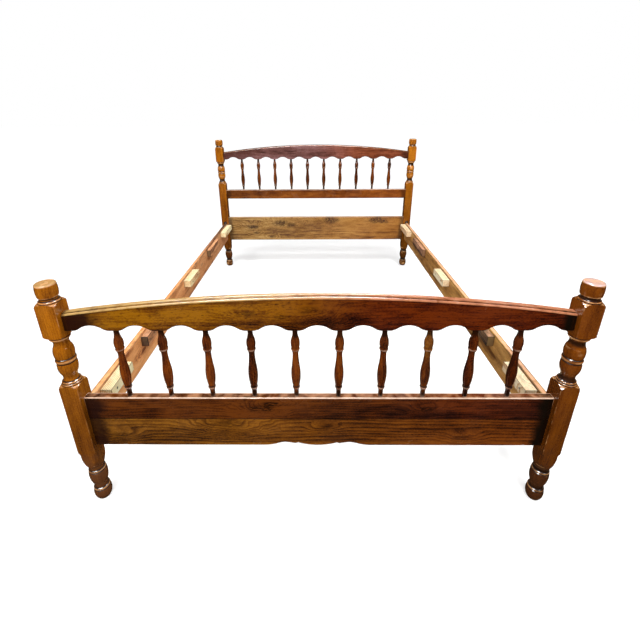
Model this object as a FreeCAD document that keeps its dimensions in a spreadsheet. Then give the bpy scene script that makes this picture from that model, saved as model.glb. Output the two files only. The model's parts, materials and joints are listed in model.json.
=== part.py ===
import FreeCAD, Part
import math
import os
import Sketcher

# A poster bed: four turned posts, a scalloped and arched top rail and a row of turned
# spindles at each end, and two side rails that hook into the posts.
# X runs across the bed, Y from the foot (-) to the head (+), Z up, with the origin on
# the floor under the middle of the bed. Lengths are in millimetres.

SPINDLE_COUNT = 10
HOOK_COUNT = 2

SIZES = {
    # the four posts
    "post_width": 54.0,
    "post_spacing_across": 1420.0,
    "post_spacing_along": 1981.0,
    "leg_height": 212.0,
    "block_margin_above_rail": 36.0,
    "block_margin_below_lobes": 9.0,
    "block_margin_above_arch": 22.0,
    "finial_height": 65.0,
    "head_rise": 214.0,
    # the boards of the two ends
    "board_thickness": 22.0,
    "edge_round": 2.0,
    "apron_lift": 18.0,
    "apron_height": 101.0,
    "apron_cut_width": 316.0,
    "apron_cut_depth": 12.0,
    "foot_rail_height": 79.0,
    "head_rail_height": 67.5,
    "panel_lift": 10.0,
    "panel_height": 186.0,
    "top_rail_thickness": 24.0,
    "top_rail_end_height": 51.5,
    "arch_rise": 50.0,
    "scallop_depth": 16.5,
    "lobe_flat": 25.0,
    "moulding_radius": 6.0,
    "moulding_quirk": 2.0,
    # tenons and mortises
    "tenon_length": 20.0,
    "tenon_thickness": 12.0,
    "tenon_shoulder": 8.0,
    "mortise_clearance": 0.2,
    "mortise_relief": 1.0,
    # the spindles
    "spindle_pitch": 122.4,
    "spindle_length": 228.0,
    "spindle_width": 26.6,
    "spindle_tenon_width": 9.5,
    "spindle_tenon_length": 15.0,
    # the side rails
    "side_rail_thickness": 22.0,
    "side_rail_height": 130.0,
    "side_rail_lift": 18.0,
    "side_rail_round": 3.0,
    "rail_end_clearance": 0.3,
    # the blocks on the side rails that carry the slats
    "cleat_drop": 5.0,
    "pine_cleat_projection": 38.0,
    "pine_cleat_height": 36.0,
    "long_cleat_projection": 22.0,
    "long_cleat_height": 44.0,
    "short_cleat_projection": 28.0,
    "short_cleat_height": 42.0,
    "head_cleat_place": 850.0,
    "head_cleat_length": 205.0,
    "long_cleat_place": 495.0,
    "long_cleat_length": 240.0,
    "middle_cleat_place": -3.0,
    "middle_cleat_length": 156.0,
    "short_cleat_place": -562.0,
    "short_cleat_length": 85.0,
    "foot_cleat_place": -832.0,
    "foot_cleat_length": 148.0,
    # the hook plates in the rail ends and the catch plates in the posts
    "catch_width": 25.0,
    "catch_thickness": 2.5,
    "catch_rise": 19.0,
    "hook_plate_width": 18.0,
    "hook_plate_thickness": 3.0,
    "hook_plate_margin": 13.0,
    "hook_thickness": 3.0,
    "hook_shank_height": 10.0,
    "hook_nose_drop": 9.0,
    "hook_nose_thickness": 5.0,
    "hook_lift": 12.0,
    "hook_play": 0.8,
    "hook_rest_gap": 0.3,
    "plate_clearance": 0.2,
    # the screws
    "plate_screw_width": 4.5,
    "plate_screw_length": 22.0,
    "cleat_screw_width": 4.0,
    "cleat_screw_bite": 15.0,
    "screw_clearance": 0.15,
    # how far a cut runs past the face that it opens
    "cut_overrun": 5.0,
}

# The turned stretches of a post. Each row is a station: its height as a share of the
# stretch, its radius and the bow of the curve up to the next station as shares of half
# the post's width. A bow above zero swells out, one below zero hollows in.
LEG_SHARES = (
    (0.0000, 0.685, 0.170),
    (0.1934, 0.889, 0.000),
    (0.1981, 0.844, 0.067),
    (0.2311, 0.822, 0.000),
    (0.2358, 0.763, -0.033),
    (0.2877, 0.756, -0.022),
    (0.3302, 0.830, 0.111),
    (0.5566, 0.948, 0.000),
    (0.5637, 0.889, 0.052),
    (0.5920, 0.874, 0.000),
    (0.5967, 0.822, -0.037),
    (0.6509, 0.826, 0.115),
    (0.8962, 1.222, 0.000),
    (0.9292, 1.233, -0.056),
    (1.0000, 1.450, 0.000),
)
BALUSTER_SHARES = (
    (0.0000, 1.450, 0.089),
    (0.0820, 1.044, 0.000),
    (0.0852, 0.948, 0.052),
    (0.1158, 0.941, 0.000),
    (0.1202, 0.874, 0.056),
    (0.1486, 0.859, 0.000),
    (0.1541, 0.793, -0.052),
    (0.2350, 0.711, -0.019),
    (0.2842, 0.811, 0.111),
    (0.4809, 0.919, 0.000),
    (0.4891, 0.885, 0.107),
    (0.5601, 0.885, 0.000),
    (0.5683, 0.911, 0.085),
    (0.7432, 0.896, -0.044),
    (0.8361, 0.715, -0.048),
    (0.8962, 0.911, 0.000),
    (0.9016, 0.930, 0.059),
    (0.9426, 0.937, 0.000),
    (0.9508, 1.015, 0.081),
    (1.0000, 1.450, 0.000),
)
FINIAL_SHARES = (
    (0.0000, 1.450, 0.074),
    (0.1692, 1.052, 0.000),
    (0.1785, 0.948, 0.050),
    (0.2646, 0.941, 0.000),
    (0.2769, 0.859, -0.044),
    (0.4000, 0.837, 0.019),
    (0.4400, 0.930, 0.055),
    (0.9231, 0.941, 0.041),
    (1.0000, 0.822, 0.000),
)

# A spindle's stations, as shares of its length between the rails and half its width.
SPINDLE_SHARES = (
    (0.0000, 0.519, 0.000),
    (0.0877, 0.519, -0.045),
    (0.1338, 0.699, 0.083),
    (0.1689, 0.714, 0.000),
    (0.1798, 0.722, 0.195),
    (0.4561, 0.895, -0.045),
    (0.6404, 0.632, -0.068),
    (0.7018, 0.842, 0.075),
    (0.7368, 0.857, 0.000),
    (0.7456, 0.865, 0.120),
    (0.8596, 0.835, -0.053),
    (0.9430, 0.541, 0.000),
    (1.0000, 0.519, 0.000),
)

# One side of the cut-out under the apron, from its outer end to the middle: distance
# from the middle as a share of half the cut's width, height and bow as shares of its depth.
APRON_CUT_SHARES = (
    (1.000, 0.000, 0.080),
    (0.800, 0.440, -0.110),
    (0.620, 1.000, -0.060),
    (0.430, 0.580, 0.000),
    (0.373, 0.830, 0.830),
)

# Where a scallop's curve turns over, as shares of half its width and of its depth, and
# the bows of its two curves as shares of its depth.
SCALLOP_TURN_SHARES = (0.657, 0.344)
SCALLOP_BOW_SHARES = (0.072, 0.656)

# Places of the hooks on their plate and of the screws, as shares of the plate's height
# and of a cleat's length.
FIRST_HOOK_SHARE = 0.18
HOOK_PITCH_SHARE = 0.48
PLATE_SCREW_SHARES = (0.07, 0.93)
CLEAT_SCREW_SHARES = (-0.28, 0.28)

# The bow of a quarter circle, as a share of its radius.
QUARTER_BOW_SHARE = 1 - math.sqrt(0.5)

# A screw's countersunk head, as shares of the screw's width.
SCREW_HEAD_WIDTH_SHARE = 2.0
SCREW_HEAD_HEIGHT_SHARE = 0.5

ENDS = (("foot", -1), ("head", 1))
SIDES = (("left", -1), ("right", 1))

doc = FreeCAD.newDocument("poster_bed")
sheet = doc.addObject("Spreadsheet::Sheet", "sizes")
for row, (alias, length) in enumerate(SIZES.items(), start=1):
    sheet.set(f"A{row}", alias)
    sheet.set(f"B{row}", str(length))
    sheet.setAlias(f"B{row}", alias)
doc.recompute()


class Size:
    """A length with its value and the expression that works it out from the sheet."""

    def __init__(self, value, text):
        self.value = value
        self.text = text

    @staticmethod
    def of(thing):
        return thing if isinstance(thing, Size) else Size(float(thing), repr(float(thing)))

    def __add__(self, other):
        other = Size.of(other)
        return Size(self.value + other.value, f"({self.text} + {other.text})")

    def __sub__(self, other):
        other = Size.of(other)
        return Size(self.value - other.value, f"({self.text} - {other.text})")

    def __mul__(self, other):
        other = Size.of(other)
        return Size(self.value * other.value, f"({self.text} * {other.text})")

    def __truediv__(self, other):
        other = Size.of(other)
        return Size(self.value / other.value, f"({self.text} / {other.text})")

    def __neg__(self):
        return Size(-self.value, f"(-1.0 * {self.text})")

    def __abs__(self):
        return -self if self.value < 0 else self


NONE = Size.of(0)
S = {alias: Size(float(getattr(sheet, alias)), f"sizes.{alias}") for alias in SIZES}

# Sizes that follow from those in the sheet.
over = S["cut_overrun"]
half_post = S["post_width"] / 2
half_across = S["post_spacing_across"] / 2
half_along = S["post_spacing_along"] / 2
half_board = half_across - half_post
pitch = S["spindle_pitch"]
first_spindle = pitch * (SPINDLE_COUNT - 1) / -2
arch_radius = half_board * half_board / (S["arch_rise"] * 2) + S["arch_rise"] / 2

rail_bottom = S["leg_height"] + S["side_rail_lift"]
rail_top = rail_bottom + S["side_rail_height"]
rail_half_length = half_along - half_post - S["rail_end_clearance"]
cleat_top = rail_top - S["cleat_drop"]

hook_plate_bottom = rail_bottom + S["hook_plate_margin"]
hook_plate_height = S["side_rail_height"] - S["hook_plate_margin"] * 2
hook_pitch = hook_plate_height * HOOK_PITCH_SHARE
slot_bottom = hook_plate_bottom + hook_plate_height * FIRST_HOOK_SHARE
slot_height = S["hook_rest_gap"] + S["hook_shank_height"] + S["hook_lift"] + S["hook_play"] * 2
slot_width = S["hook_thickness"] + S["hook_play"] * 2
nose_near = S["rail_end_clearance"] + S["catch_thickness"] + S["hook_play"]
nose_far = nose_near + S["hook_nose_thickness"]
catch_bottom = rail_bottom
catch_top = rail_top + S["catch_rise"]

SPINDLE_RAIL_TOP = {}
LOBE_LINE = {}
BOARDS = {}
for end_name, end in ENDS:
    rise = S["head_rise"] if end > 0 else NONE
    apron_bottom = S["leg_height"] + S["apron_lift"]
    apron_top = apron_bottom + S["apron_height"]
    SPINDLE_RAIL_TOP[end] = apron_top + S["foot_rail_height"] + rise
    LOBE_LINE[end] = SPINDLE_RAIL_TOP[end] + S["spindle_length"]
    # the lower and upper edge of each board at its ends, from the floor
    top_rail = (LOBE_LINE[end], LOBE_LINE[end] + S["top_rail_end_height"])
    if end < 0:
        lower = (apron_bottom, apron_top)
        spindle_rail = (apron_top, SPINDLE_RAIL_TOP[end])
    else:
        panel_bottom = S["leg_height"] + S["panel_lift"]
        lower = (panel_bottom, panel_bottom + S["panel_height"])
        spindle_rail = (SPINDLE_RAIL_TOP[end] - S["head_rail_height"], SPINDLE_RAIL_TOP[end])
    BOARDS[end] = {"lower": lower, "spindle_rail": spindle_rail, "top_rail": top_rail}


def origin(body, role):
    """One of the body's own origin planes or axes."""
    return next(part for part in body.Origin.OriginFeatures if part.Role == role)


def bind(thing, prop, size):
    thing.setExpression(prop, size.text)


def place(thing, x=NONE, y=NONE, z=NONE):
    for axis, size in zip("xyz", (x, y, z)):
        bind(thing, f"Placement.Base.{axis}", size)


def span(direction, near, far):
    """The stretch from near to far along an axis, on the side that direction names."""
    return (near, far) if direction > 0 else (-far, -near)


def new_body(label):
    body = doc.addObject("PartDesign::Body", label)
    body.Label = label
    return body


def draw(body, name, plane, corners):
    """A closed sketch on one of the body's planes. Each corner is x, y and the bow of
    the edge to the next corner, to the right of the way round; no bow is a straight edge."""
    sketch = body.newObject("Sketcher::SketchObject", name)
    sketch.AttachmentSupport = [(origin(body, plane), "")]
    sketch.MapMode = "FlatFace"
    corners = [tuple(Size.of(part) for part in corner) for corner in corners]
    points = [FreeCAD.Vector(x.value, y.value, 0) for x, y, bow in corners]
    edges = []
    for index, (x, y, bow) in enumerate(corners):
        begin = points[index]
        finish = points[(index + 1) % len(points)]
        if bow.value == 0:
            edges.append(Part.LineSegment(begin, finish))
        else:
            way = (finish - begin).normalize()
            middle = (begin + finish) / 2 + FreeCAD.Vector(way.y, -way.x, 0) * bow.value
            edges.append(Part.Arc(begin, middle, finish))
    sketch.addGeometry(edges)

    def is_forward(index):
        first = sketch.getPoint(index, 1)
        second = sketch.getPoint(index, 2)
        return first.distanceToPoint(points[index]) < second.distanceToPoint(points[index])

    first_ends = [1 if is_forward(index) else 2 for index in range(len(corners))]
    holds = []
    formulas = []
    for index, (x, y, bow) in enumerate(corners):
        before = index - 1 if index else len(corners) - 1
        corner = (index, first_ends[index])
        holds.append(Sketcher.Constraint("Coincident", before, 3 - first_ends[before], *corner))
        for kind, size, axis in (("DistanceX", x, -2), ("DistanceY", y, -1)):
            if size.value == 0:
                holds.append(Sketcher.Constraint("PointOnObject", *corner, axis))
                continue
            ends = (-1, 1, *corner) if size.value > 0 else (*corner, -1, 1)
            formulas.append((len(holds), abs(size)))
            holds.append(Sketcher.Constraint(kind, *ends, abs(size).value))
        if bow.value:
            next_x, next_y, _ = corners[(index + 1) % len(corners)]
            run = next_x - x
            climb = next_y - y
            radius = (run * run + climb * climb) / (abs(bow) * 8) + abs(bow) / 2
            formulas.append((len(holds), radius))
            holds.append(Sketcher.Constraint("Radius", index, radius.value))
    sketch.addConstraint(holds)
    for number, size in formulas:
        bind(sketch, f"Constraints[{number}]", size)
    return sketch


def slab(body, sketch, thickness):
    """A pad that reaches half its thickness to each side of the sketch."""
    pad = body.newObject("PartDesign::Pad", f"{sketch.Name}_pad")
    pad.Profile = sketch
    pad.SideType = "Symmetric"
    bind(pad, "Length", thickness)
    return pad


def cut_through(body, sketch, thickness):
    """A pocket right through a board, from just in front of its face."""
    bind(sketch, "AttachmentOffset.Base.z", thickness / 2 + over)
    pocket = body.newObject("PartDesign::Pocket", f"{sketch.Name}_pocket")
    pocket.Profile = sketch
    bind(pocket, "Length", thickness + over * 2)
    return pocket


def turn(body, kind, sketch, axis="V_Axis"):
    """A full revolution or groove of the sketch about one of its axes."""
    feature = body.newObject(f"PartDesign::{kind}", f"{sketch.Name}_turn")
    feature.Profile = sketch
    feature.ReferenceAxis = (sketch, [axis])
    feature.Angle = 360
    return feature


def box(body, kind, name, xs, ys, zs):
    """An added or cut box, from its lowest and highest x, y and z."""
    feature = body.newObject(f"PartDesign::{kind}Box", name)
    place(feature, xs[0], ys[0], zs[0])
    for prop, (low, high) in zip(("Length", "Width", "Height"), (xs, ys, zs)):
        bind(feature, prop, high - low)
    return feature


AIMS = {
    "+x": FreeCAD.Rotation(FreeCAD.Vector(0, 1, 0), 90),
    "-x": FreeCAD.Rotation(FreeCAD.Vector(0, 1, 0), -90),
    "+y": FreeCAD.Rotation(FreeCAD.Vector(1, 0, 0), -90),
    "-y": FreeCAD.Rotation(FreeCAD.Vector(1, 0, 0), 90),
    "+z": FreeCAD.Rotation(),
}


def aim_name(axis, direction):
    return ("+" if direction > 0 else "-") + axis


def aim(thing, way):
    thing.Placement = FreeCAD.Placement(FreeCAD.Vector(), AIMS[way])


def bore(body, name, way, x, y, z, radius, depth):
    """A round hole that starts at a point and runs the given way."""
    hole = body.newObject("PartDesign::SubtractiveCylinder", name)
    aim(hole, way)
    place(hole, x, y, z)
    bind(hole, "Radius", radius)
    bind(hole, "Height", depth)
    return hole


def countersunk_bore(body, name, way, x, y, z, width, depth):
    """A clearance hole for a screw, with the seat for its head at the starting point."""
    seat = body.newObject("PartDesign::SubtractiveCone", f"{name}_seat")
    aim(seat, way)
    place(seat, x, y, z)
    bind(seat, "Radius1", width * SCREW_HEAD_WIDTH_SHARE / 2 + S["screw_clearance"])
    bind(seat, "Radius2", width / 2 + S["screw_clearance"])
    bind(seat, "Height", width * SCREW_HEAD_HEIGHT_SHARE)
    bore(body, name, way, x, y, z, width / 2 + S["screw_clearance"], depth)


def screw(name, way, x, y, z, width, length):
    """A countersunk screw whose head is flush at its starting point."""
    head = doc.addObject("Part::Cone", f"{name}_head")
    bind(head, "Radius1", width * SCREW_HEAD_WIDTH_SHARE / 2)
    bind(head, "Radius2", width / 2)
    bind(head, "Height", width * SCREW_HEAD_HEIGHT_SHARE)
    shank = doc.addObject("Part::Cylinder", f"{name}_shank")
    bind(shank, "Radius", width / 2)
    bind(shank, "Height", length)
    for part in (head, shank):
        aim(part, way)
        place(part, x, y, z)
    whole = doc.addObject("Part::Fuse", name)
    whole.Base = head
    whole.Tool = shank
    return whole


def screw_set(label, screws):
    """All the screws of one kind on one body, as one sub-part."""
    compound = doc.addObject("Part::Compound", label)
    compound.Label = label
    compound.Links = screws
    return compound


def repeat(body, feature, axis, pitch, count):
    """Copies of a feature along one of the body's axes."""
    pattern = body.newObject("PartDesign::LinearPattern", f"{feature.Name}_row")
    pattern.Originals = [feature]
    pattern.Direction = (origin(body, axis), [""])
    bind(pattern, "Length", pitch * (count - 1))
    pattern.Occurrences = count
    body.Tip = pattern
    return pattern


def stretch(shares, start, length, half_width):
    """The stations of a turned stretch as corners, from its start upward."""
    return [
        (half_width * radius, start + length * height, half_width * bow)
        for height, radius, bow in shares
    ]


def stadium(half_width, low, high):
    """The outline of a plate with round ends, each of two quarter circles."""
    bow = half_width * QUARTER_BOW_SHARE
    return [
        (-half_width, low + half_width, bow),
        (NONE, low, bow),
        (half_width, low + half_width, 0),
        (half_width, high - half_width, bow),
        (NONE, high, bow),
        (-half_width, high - half_width, 0),
    ]


def tenon_heights(board):
    low, high = board
    return (low + S["tenon_shoulder"], high - S["tenon_shoulder"])


def post(label, side, end):
    """A post: a square length turned round its middle everywhere but at two blocks.
    Where the turning runs out, the square's corners end in curved tongues."""
    body = new_body(label)
    lower_block_top = SPINDLE_RAIL_TOP[end] + S["block_margin_above_rail"]
    baluster_top = LOBE_LINE[end] - S["block_margin_below_lobes"]
    arch_end = LOBE_LINE[end] + S["top_rail_end_height"]
    upper_block_top = arch_end + S["block_margin_above_arch"]
    top = upper_block_top + S["finial_height"]
    square = [(-half_post, -half_post, 0), (half_post, -half_post, 0),
              (half_post, half_post, 0), (-half_post, half_post, 0)]
    blank = body.newObject("PartDesign::Pad", f"{label}_blank")
    blank.Profile = draw(body, f"{label}_square", "XY_Plane", square)
    bind(blank, "Length", top)

    block_radius = S["post_width"] * math.sqrt(0.5) + over
    waste_radius = block_radius + over
    leg = stretch(LEG_SHARES, NONE, S["leg_height"], half_post)
    baluster = stretch(BALUSTER_SHARES, lower_block_top, baluster_top - lower_block_top, half_post)
    finial = stretch(FINIAL_SHARES, upper_block_top, S["finial_height"], half_post)
    waste = [(leg[0][0], -over, 0), *leg]
    waste += [(block_radius, S["leg_height"], 0), (block_radius, lower_block_top, 0), *baluster]
    waste += [(block_radius, baluster_top, 0), (block_radius, upper_block_top, 0), *finial]
    waste += [(finial[-1][0], top + over, 0), (waste_radius, top + over, 0), (waste_radius, -over, 0)]
    turn(body, "Groove", draw(body, f"{label}_waste", "XZ_Plane", waste))

    # the recess for the catch plate, in the face that looks along the bed
    facing = -end
    plate_slack = S["plate_clearance"]
    plate_half = S["catch_width"] / 2 + plate_slack
    recess = draw(body, f"{label}_recess", "XZ_Plane",
                  stadium(plate_half, catch_bottom - plate_slack, catch_top + plate_slack))
    bind(recess, "AttachmentOffset.Base.z", (half_post - S["catch_thickness"]) * -facing)
    pocket = body.newObject("PartDesign::Pocket", f"{label}_recess_cut")
    pocket.Profile = recess
    pocket.Reversed = facing < 0
    bind(pocket, "Length", S["catch_thickness"] + over)

    # mortises for the three boards, in the face that looks across the bed
    slack = S["mortise_clearance"]
    depth = half_post - S["tenon_length"] - S["mortise_relief"]
    half_mortise = S["tenon_thickness"] / 2 + slack
    for name, board in BOARDS[end].items():
        low, high = tenon_heights(board)
        box(body, "Subtractive", f"{label}_{name}_mortise", span(-side, depth, half_post + over),
            (-half_mortise, half_mortise), (low - slack, high + slack))

    # the pocket that the hooks drop into behind the plate
    hook_pocket_half = S["hook_plate_width"] / 4
    hook_pocket_low = slot_bottom - S["hook_nose_drop"] - S["hook_play"] * 2
    hook_pocket_high = slot_bottom + hook_pitch + slot_height + S["hook_play"]
    pocket_floor = half_post - nose_far - S["hook_play"] * 2
    box(body, "Subtractive", f"{label}_hook_pocket", (-hook_pocket_half, hook_pocket_half),
        span(facing, pocket_floor, half_post + over), (hook_pocket_low, hook_pocket_high))
    for number, z in enumerate((catch_bottom + S["catch_width"] / 2, catch_top - S["catch_width"] / 2)):
        bore(body, f"{label}_pilot_{number}", aim_name("y", -facing), NONE, half_post * facing, z,
             S["plate_screw_width"] / 2 + S["screw_clearance"],
             S["plate_screw_length"] + S["mortise_relief"])
    place(body, half_across * side, half_along * end)
    return body


def board(label, corners, thickness):
    """A board as long as the gap between two posts, from its outline."""
    body = new_body(label)
    slab(body, draw(body, f"{label}_outline", "XZ_Plane", corners), thickness)
    return body


def add_tenons(body, label, end, heights):
    """A tenon at each end of a board, which is then put in its place."""
    reach = half_board + S["tenon_length"]
    half_tenon = S["tenon_thickness"] / 2
    for side_name, side in SIDES:
        box(body, "Additive", f"{label}_{side_name}_tenon", span(side, half_board, reach),
            (-half_tenon, half_tenon), tenon_heights(heights))
    place(body, NONE, half_along * end)


def plain_outline(heights):
    low, high = heights
    return [(-half_board, low, 0), (half_board, low, 0), (half_board, high, 0), (-half_board, high, 0)]


def ease(body, label, axis, heights):
    """Rounds the long edges of a straight board at the given heights."""
    doc.recompute()
    names = []
    for number, edge in enumerate(body.Shape.Edges, start=1):
        if edge.Curve.TypeId != "Part::GeomLine" or abs(edge.Curve.Direction * axis) < 0.999:
            continue
        middle = edge.CenterOfMass
        level = any(abs(middle.z - height.value) < height.value * 1e-6 for height in heights)
        if level:
            names.append(f"Edge{number}")
    base = body.Tip
    fillet = body.newObject("PartDesign::Fillet", f"{label}_eased")
    fillet.Base = (base, names)
    return fillet


def spindle_bores(body, label, way, z):
    """The row of round mortises that the spindles' tenons stand in."""
    depth = S["spindle_tenon_length"] + S["mortise_relief"]
    low = z if way == "up" else z - depth
    radius = S["spindle_tenon_width"] / 2 + S["mortise_clearance"]
    first = bore(body, f"{label}_bore", "+z", first_spindle, NONE, low, radius, depth)
    repeat(body, first, "X_Axis", pitch, SPINDLE_COUNT)


def apron(label, end):
    """The lower board of the foot, with a shaped cut-out in the middle of its lower edge."""
    heights = BOARDS[end]["lower"]
    low = heights[0]
    half_cut = S["apron_cut_width"] / 2
    depth = S["apron_cut_depth"]
    one_side = [(half_cut * x, low + depth * z, bow) for x, z, bow in APRON_CUT_SHARES]
    # travelled from the left end to the middle and on to the right end, so that the
    # second half is the first one mirrored
    rising = [(-x, z, depth * bow) for x, z, bow in one_side]
    falling = []
    for index in range(len(one_side) - 1, -1, -1):
        x, z, _ = one_side[index]
        bow = one_side[index - 1][2] if index else 0
        falling.append((x, z, depth * bow))
    cut = [(-half_cut, low - over, 0), *rising, *falling, (half_cut, low - over, 0)]
    body = board(label, plain_outline(heights), S["board_thickness"])
    cut_through(body, draw(body, f"{label}_cut", "XZ_Plane", cut), S["board_thickness"])
    add_tenons(body, label, end, heights)
    return body


def straight_board(label, end, name, eased):
    """A straight board whose long edges are rounded at the eased heights."""
    heights = BOARDS[end][name]
    body = board(label, plain_outline(heights), S["board_thickness"])
    bind(ease(body, label, FreeCAD.Vector(1, 0, 0), eased), "Radius", S["edge_round"])
    add_tenons(body, label, end, heights)
    return body


def top_rail(label, end):
    """The arched rail: a scallop beside every spindle in its lower edge and a quarter-round
    moulding with a quirk along the front of its arch."""
    low, high = BOARDS[end]["top_rail"]
    corners = [(-half_board, low, 0), (half_board, low, 0),
               (half_board, high, S["arch_rise"]), (-half_board, high, 0)]
    body = board(label, corners, S["top_rail_thickness"])

    half_scallop = (pitch - S["lobe_flat"]) / 2
    depth = S["scallop_depth"]
    turn_x = half_scallop * SCALLOP_TURN_SHARES[0]
    turn_z = low + depth * SCALLOP_TURN_SHARES[1]
    near_bow = depth * SCALLOP_BOW_SHARES[0]
    crown_bow = depth * SCALLOP_BOW_SHARES[1]
    first = first_spindle - pitch / 2
    scallop = [
        (first - half_scallop, low - over, 0),
        (first + half_scallop, low - over, 0),
        (first + half_scallop, low, -near_bow),
        (first + turn_x, turn_z, crown_bow),
        (first - turn_x, turn_z, -near_bow),
        (first - half_scallop, low, 0),
    ]
    outline = draw(body, f"{label}_scallop", "XZ_Plane", scallop)
    pocket = cut_through(body, outline, S["top_rail_thickness"])
    repeat(body, pocket, "X_Axis", pitch, SPINDLE_COUNT + 1)

    # the moulding is swept round the centre of the arch, where its sketch has its origin
    front = S["top_rail_thickness"] / 2
    radius = S["moulding_radius"]
    shelf = arch_radius - S["moulding_quirk"]
    bow = radius * QUARTER_BOW_SHARE
    edge = [
        (-front, shelf - radius, 0),
        (-front - over, shelf - radius, 0),
        (-front - over, arch_radius + over, 0),
        (-front + radius, arch_radius + over, 0),
        (-front + radius, shelf, bow),
    ]
    sketch = draw(body, f"{label}_moulding", "YZ_Plane", edge)
    bind(sketch, "AttachmentOffset.Base.y", high + S["arch_rise"] - arch_radius)
    turn(body, "Groove", sketch, "H_Axis")
    add_tenons(body, label, end, (low, high))
    spindle_bores(body, label, "up", low)
    return body


def spindle(label, end, number):
    """A turned spindle with a round tenon at each end."""
    body = new_body(label)
    half_width = S["spindle_width"] / 2
    tenon_radius = S["spindle_tenon_width"] / 2
    length = S["spindle_length"]
    tenon = S["spindle_tenon_length"]
    shape = stretch(SPINDLE_SHARES, NONE, length, half_width)
    outline = [(NONE, -tenon, 0), (tenon_radius, -tenon, 0), (tenon_radius, NONE, 0), *shape,
               (tenon_radius, length, 0), (tenon_radius, length + tenon, 0), (NONE, length + tenon, 0)]
    turn(body, "Revolution", draw(body, f"{label}_outline", "XZ_Plane", outline))
    place(body, first_spindle + pitch * (number - 1), half_along * end, SPINDLE_RAIL_TOP[end])
    return body


CLEATS = (
    ("foot_cleat", "pine_cleat"),
    ("short_cleat", "short_cleat"),
    ("middle_cleat", "pine_cleat"),
    ("long_cleat", "long_cleat"),
    ("head_cleat", "pine_cleat"),
)


def cleat_screw_places(name):
    return [S[f"{name}_place"] + S[f"{name}_length"] * share for share in CLEAT_SCREW_SHARES]


def cleat_screw_height(kind):
    return cleat_top - S[f"{kind}_height"] / 2


def side_rail(label, side):
    """A side rail with rounded upper edges and a recess for a hook plate in each end."""
    body = new_body(label)
    half = S["side_rail_thickness"] / 2
    section = [(-half, rail_bottom, 0), (half, rail_bottom, 0), (half, rail_top, 0), (-half, rail_top, 0)]
    slab(body, draw(body, f"{label}_section", "XZ_Plane", section), rail_half_length * 2)
    fillet = ease(body, label, FreeCAD.Vector(0, 1, 0), [rail_top])
    bind(fillet, "Radius", S["side_rail_round"])
    slack = S["plate_clearance"]
    plate_half = S["hook_plate_width"] / 2 + slack
    for end_name, end in ENDS:
        near = rail_half_length - S["hook_plate_thickness"]
        box(body, "Subtractive", f"{label}_{end_name}_recess", (-plate_half, plate_half),
            span(end, near, rail_half_length + over),
            (hook_plate_bottom - slack, hook_plate_bottom + hook_plate_height + slack))
        for number, share in enumerate(PLATE_SCREW_SHARES):
            bore(body, f"{label}_{end_name}_pilot_{number}", aim_name("y", -end), NONE,
                 rail_half_length * end, hook_plate_bottom + hook_plate_height * share,
                 S["plate_screw_width"] / 2 + S["screw_clearance"],
                 S["plate_screw_length"] + S["mortise_relief"])
    for name, kind in CLEATS:
        for number, y in enumerate(cleat_screw_places(name)):
            bore(body, f"{label}_{name}_pilot_{number}", aim_name("x", side), half * -side, y,
                 cleat_screw_height(kind), S["cleat_screw_width"] / 2 + S["screw_clearance"],
                 S["cleat_screw_bite"] + S["mortise_relief"])
    place(body, half_across * side)
    return body


def cleat(label, side, name, kind):
    """A block on the inner face of a side rail that carries the slats."""
    body = new_body(label)
    inner = half_across - S["side_rail_thickness"] / 2
    xs = span(side, inner - S[f"{kind}_projection"], inner)
    low = cleat_top - S[f"{kind}_height"]
    section = [(xs[0], low, 0), (xs[1], low, 0), (xs[1], cleat_top, 0), (xs[0], cleat_top, 0)]
    slab(body, draw(body, f"{label}_section", "XZ_Plane", section), S[f"{name}_length"])
    face = (inner - S[f"{kind}_projection"]) * side
    for number, share in enumerate(CLEAT_SCREW_SHARES):
        countersunk_bore(body, f"{label}_hole_{number}", aim_name("x", side), face,
                         S[f"{name}_length"] * share, cleat_screw_height(kind),
                         S["cleat_screw_width"], S[f"{kind}_projection"])
    place(body, NONE, S[f"{name}_place"])
    return body


def cleat_screws(label, side):
    """The screws that hold one rail's blocks."""
    screws = []
    for name, kind in CLEATS:
        face = half_across - S["side_rail_thickness"] / 2 - S[f"{kind}_projection"]
        for number, y in enumerate(cleat_screw_places(name)):
            screws.append(screw(f"{label}_{name}_{number}", aim_name("x", side), face * side, y,
                                cleat_screw_height(kind), S["cleat_screw_width"],
                                S[f"{kind}_projection"] + S["cleat_screw_bite"]))
    return screw_set(label, screws)


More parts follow.
